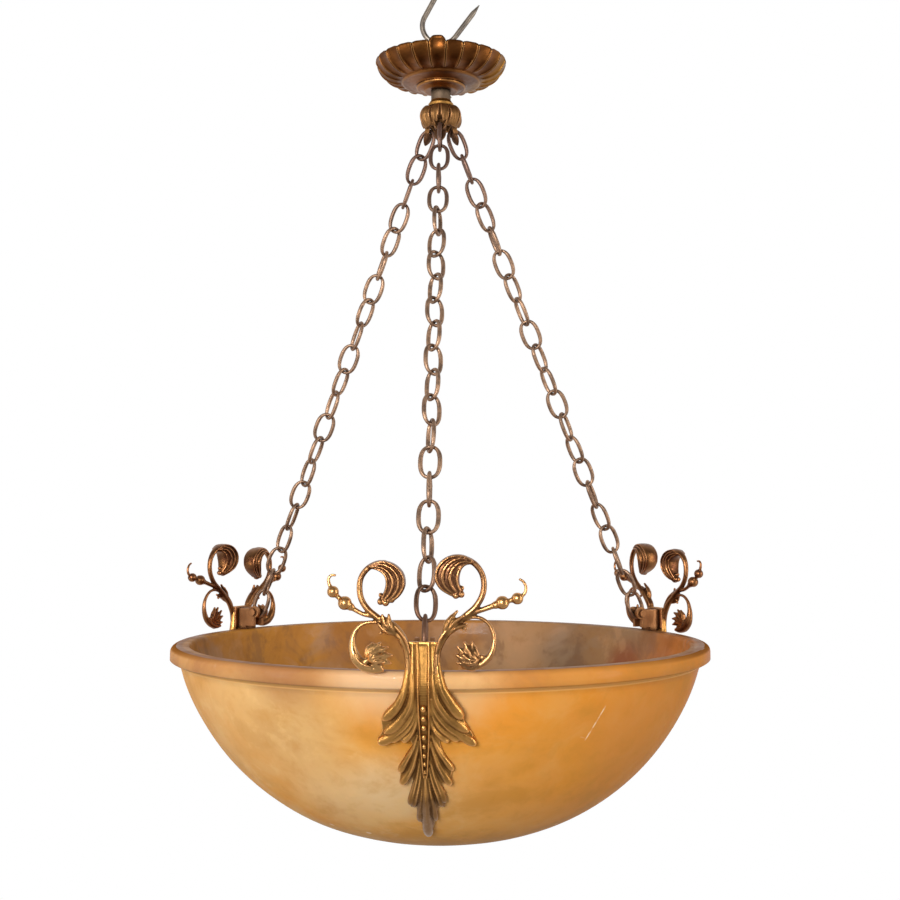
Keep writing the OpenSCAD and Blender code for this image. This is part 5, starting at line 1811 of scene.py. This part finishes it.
def soft_room():
    """A white room that is dimmer in front of the lamp, with its own tones for light and reflections"""
    world = bpy.data.worlds.new("soft room")
    world.use_nodes = True
    nodes, link = world.node_tree.nodes, world.node_tree.links.new
    sky = nodes["Background"]
    sky.inputs["Strength"].default_value = 1.0
    way = nodes.new("ShaderNodeSeparateXYZ")
    link(nodes.new("ShaderNodeTexCoord").outputs["Generated"], way.inputs[0])
    back = nodes.new("ShaderNodeMapRange")
    back.interpolation_type = "SMOOTHSTEP"
    back.inputs["From Min"].default_value = -0.25
    back.inputs["From Max"].default_value = 0.75
    link(way.outputs["Y"], back.inputs["Value"])
    ray = nodes.new("ShaderNodeLightPath")
    last = sky
    for kind, front, behind in (
        ("", 0.30, 0.52),
        ("Is Glossy Ray", 0.22, 1.0),
        ("Is Transmission Ray", 1.0, 1.0),
        ("Is Camera Ray", 1.0, 1.0),
    ):
        tones = nodes.new("ShaderNodeMix")
        tones.data_type = "RGBA"
        tones.inputs[MIX_A].default_value = (front, front, front, 1)
        tones.inputs[MIX_B].default_value = (behind, behind, behind, 1)
        link(back.outputs["Result"], tones.inputs["Factor"])
        room = nodes.new("ShaderNodeBackground") if kind else sky
        link(tones.outputs[MIX_RESULT], room.inputs["Color"])
        if kind:
            mix = nodes.new("ShaderNodeMixShader")
            link(ray.outputs[kind], mix.inputs["Fac"])
            link(last.outputs[0], mix.inputs[1])
            link(room.outputs[0], mix.inputs[2])
            last = mix
    link(last.outputs[0], nodes["World Output"].inputs["Surface"])
    return world


def area_light(name, place, size, power, tint=(1, 1, 1)):
    """A soft lamp that faces the middle of the object"""
    data = bpy.data.lights.new(name, "AREA")
    data.shape = "RECTANGLE"
    data.size, data.size_y = size
    data.energy = power
    data.color = tint
    ob = placed(name, data)
    ob.location = place
    ob.rotation_euler = (Vector((0, 0, -0.5)) - Vector(place)).to_track_quat("-Z", "Y").to_euler()


class StageAndCamera(bpy.types.Operator):
    """Pale floor and backdrop, soft lamps, and the camera at the photograph's angle"""

    bl_idname = "bowl_light.stage"
    bl_label = "Stage and camera"

    def execute(self, context):
        scene = context.scene
        scene.view_settings.view_transform = "Standard"
        half, level = 6000, -2200
        corners = [(-half, -half, level), (half, -half, level), (half, half, level), (-half, half, level)]
        floor = mesh_object("floor", corners, [(0, 1, 2, 3)], False)
        dress(floor, stage_material("pale floor", 0.4))
        scene.world = soft_room()
        area_light("window left", (-1.9, -1.0, -0.3), (0.35, 1.8), 14, (1, 0.98, 0.95))
        area_light("window right", (1.9, -0.7, -0.4), (0.4, 1.8), 18, (1, 0.98, 0.95))
        area_light("front", (-0.5, -2.05, -0.15), (0.6, 0.6), 39)
        cam = bpy.data.cameras.new("camera")
        cam.lens = CAMERA_LENS
        cam.sensor_width = 36
        cam.sensor_fit = "HORIZONTAL"
        cam.clip_end = 50
        ob = placed("camera", cam)
        turn = math.radians(CAMERA_TURN)
        ob.location = Matrix.Rotation(turn, 3, "Z") @ Vector(CAMERA_PLACE)
        ob.rotation_euler = Euler((math.radians(90 + CAMERA_LOOK), 0, turn), "XYZ")
        scene.camera = ob
        return {"FINISHED"}


# Add-on

STEPS = (
    StageAndCamera, FittingFinishes, BowlPiece, LeafPieces, ScrollPieces, ChainPieces, RosePiece, HubPiece,
    HookPiece, LampPieces,
)
GROUPS = (StoneSettings, MetalSettings, ShapeSettings)


class BowlLightPanel(bpy.types.Panel):
    """Lists the pieces and their settings"""

    bl_idname = "VIEW3D_PT_bowl_light"
    bl_label = "Bowl Light"
    bl_space_type = "VIEW_3D"
    bl_region_type = "UI"
    bl_category = "Bowl Light"

    def draw(self, context):
        for title, group in (("Stone", stone()), ("Metal", metal()), ("Shape", shape())):
            box = self.layout.box()
            box.label(text=title)
            for key in group.bl_rna.properties.keys():
                if key not in ("rna_type", "name"):
                    box.prop(group, key)
        for step in STEPS:
            self.layout.operator(step.bl_idname, text=step.bl_label)


def register():
    for cls in GROUPS + STEPS + (BowlLightPanel,):
        bpy.utils.register_class(cls)
    bpy.types.Scene.bowl_light_stone = PointerProperty(type=StoneSettings)
    bpy.types.Scene.bowl_light_metal = PointerProperty(type=MetalSettings)
    bpy.types.Scene.bowl_light_shape = PointerProperty(type=ShapeSettings)


def unregister():
    del bpy.types.Scene.bowl_light_shape
    del bpy.types.Scene.bowl_light_metal
    del bpy.types.Scene.bowl_light_stone
    for cls in reversed(GROUPS + STEPS + (BowlLightPanel,)):
        bpy.utils.unregister_class(cls)


def main():
    register()
    for step in STEPS:
        group, name = step.bl_idname.split(".")
        getattr(getattr(bpy.ops, group), name)()


if __name__ == "__main__":
    main()
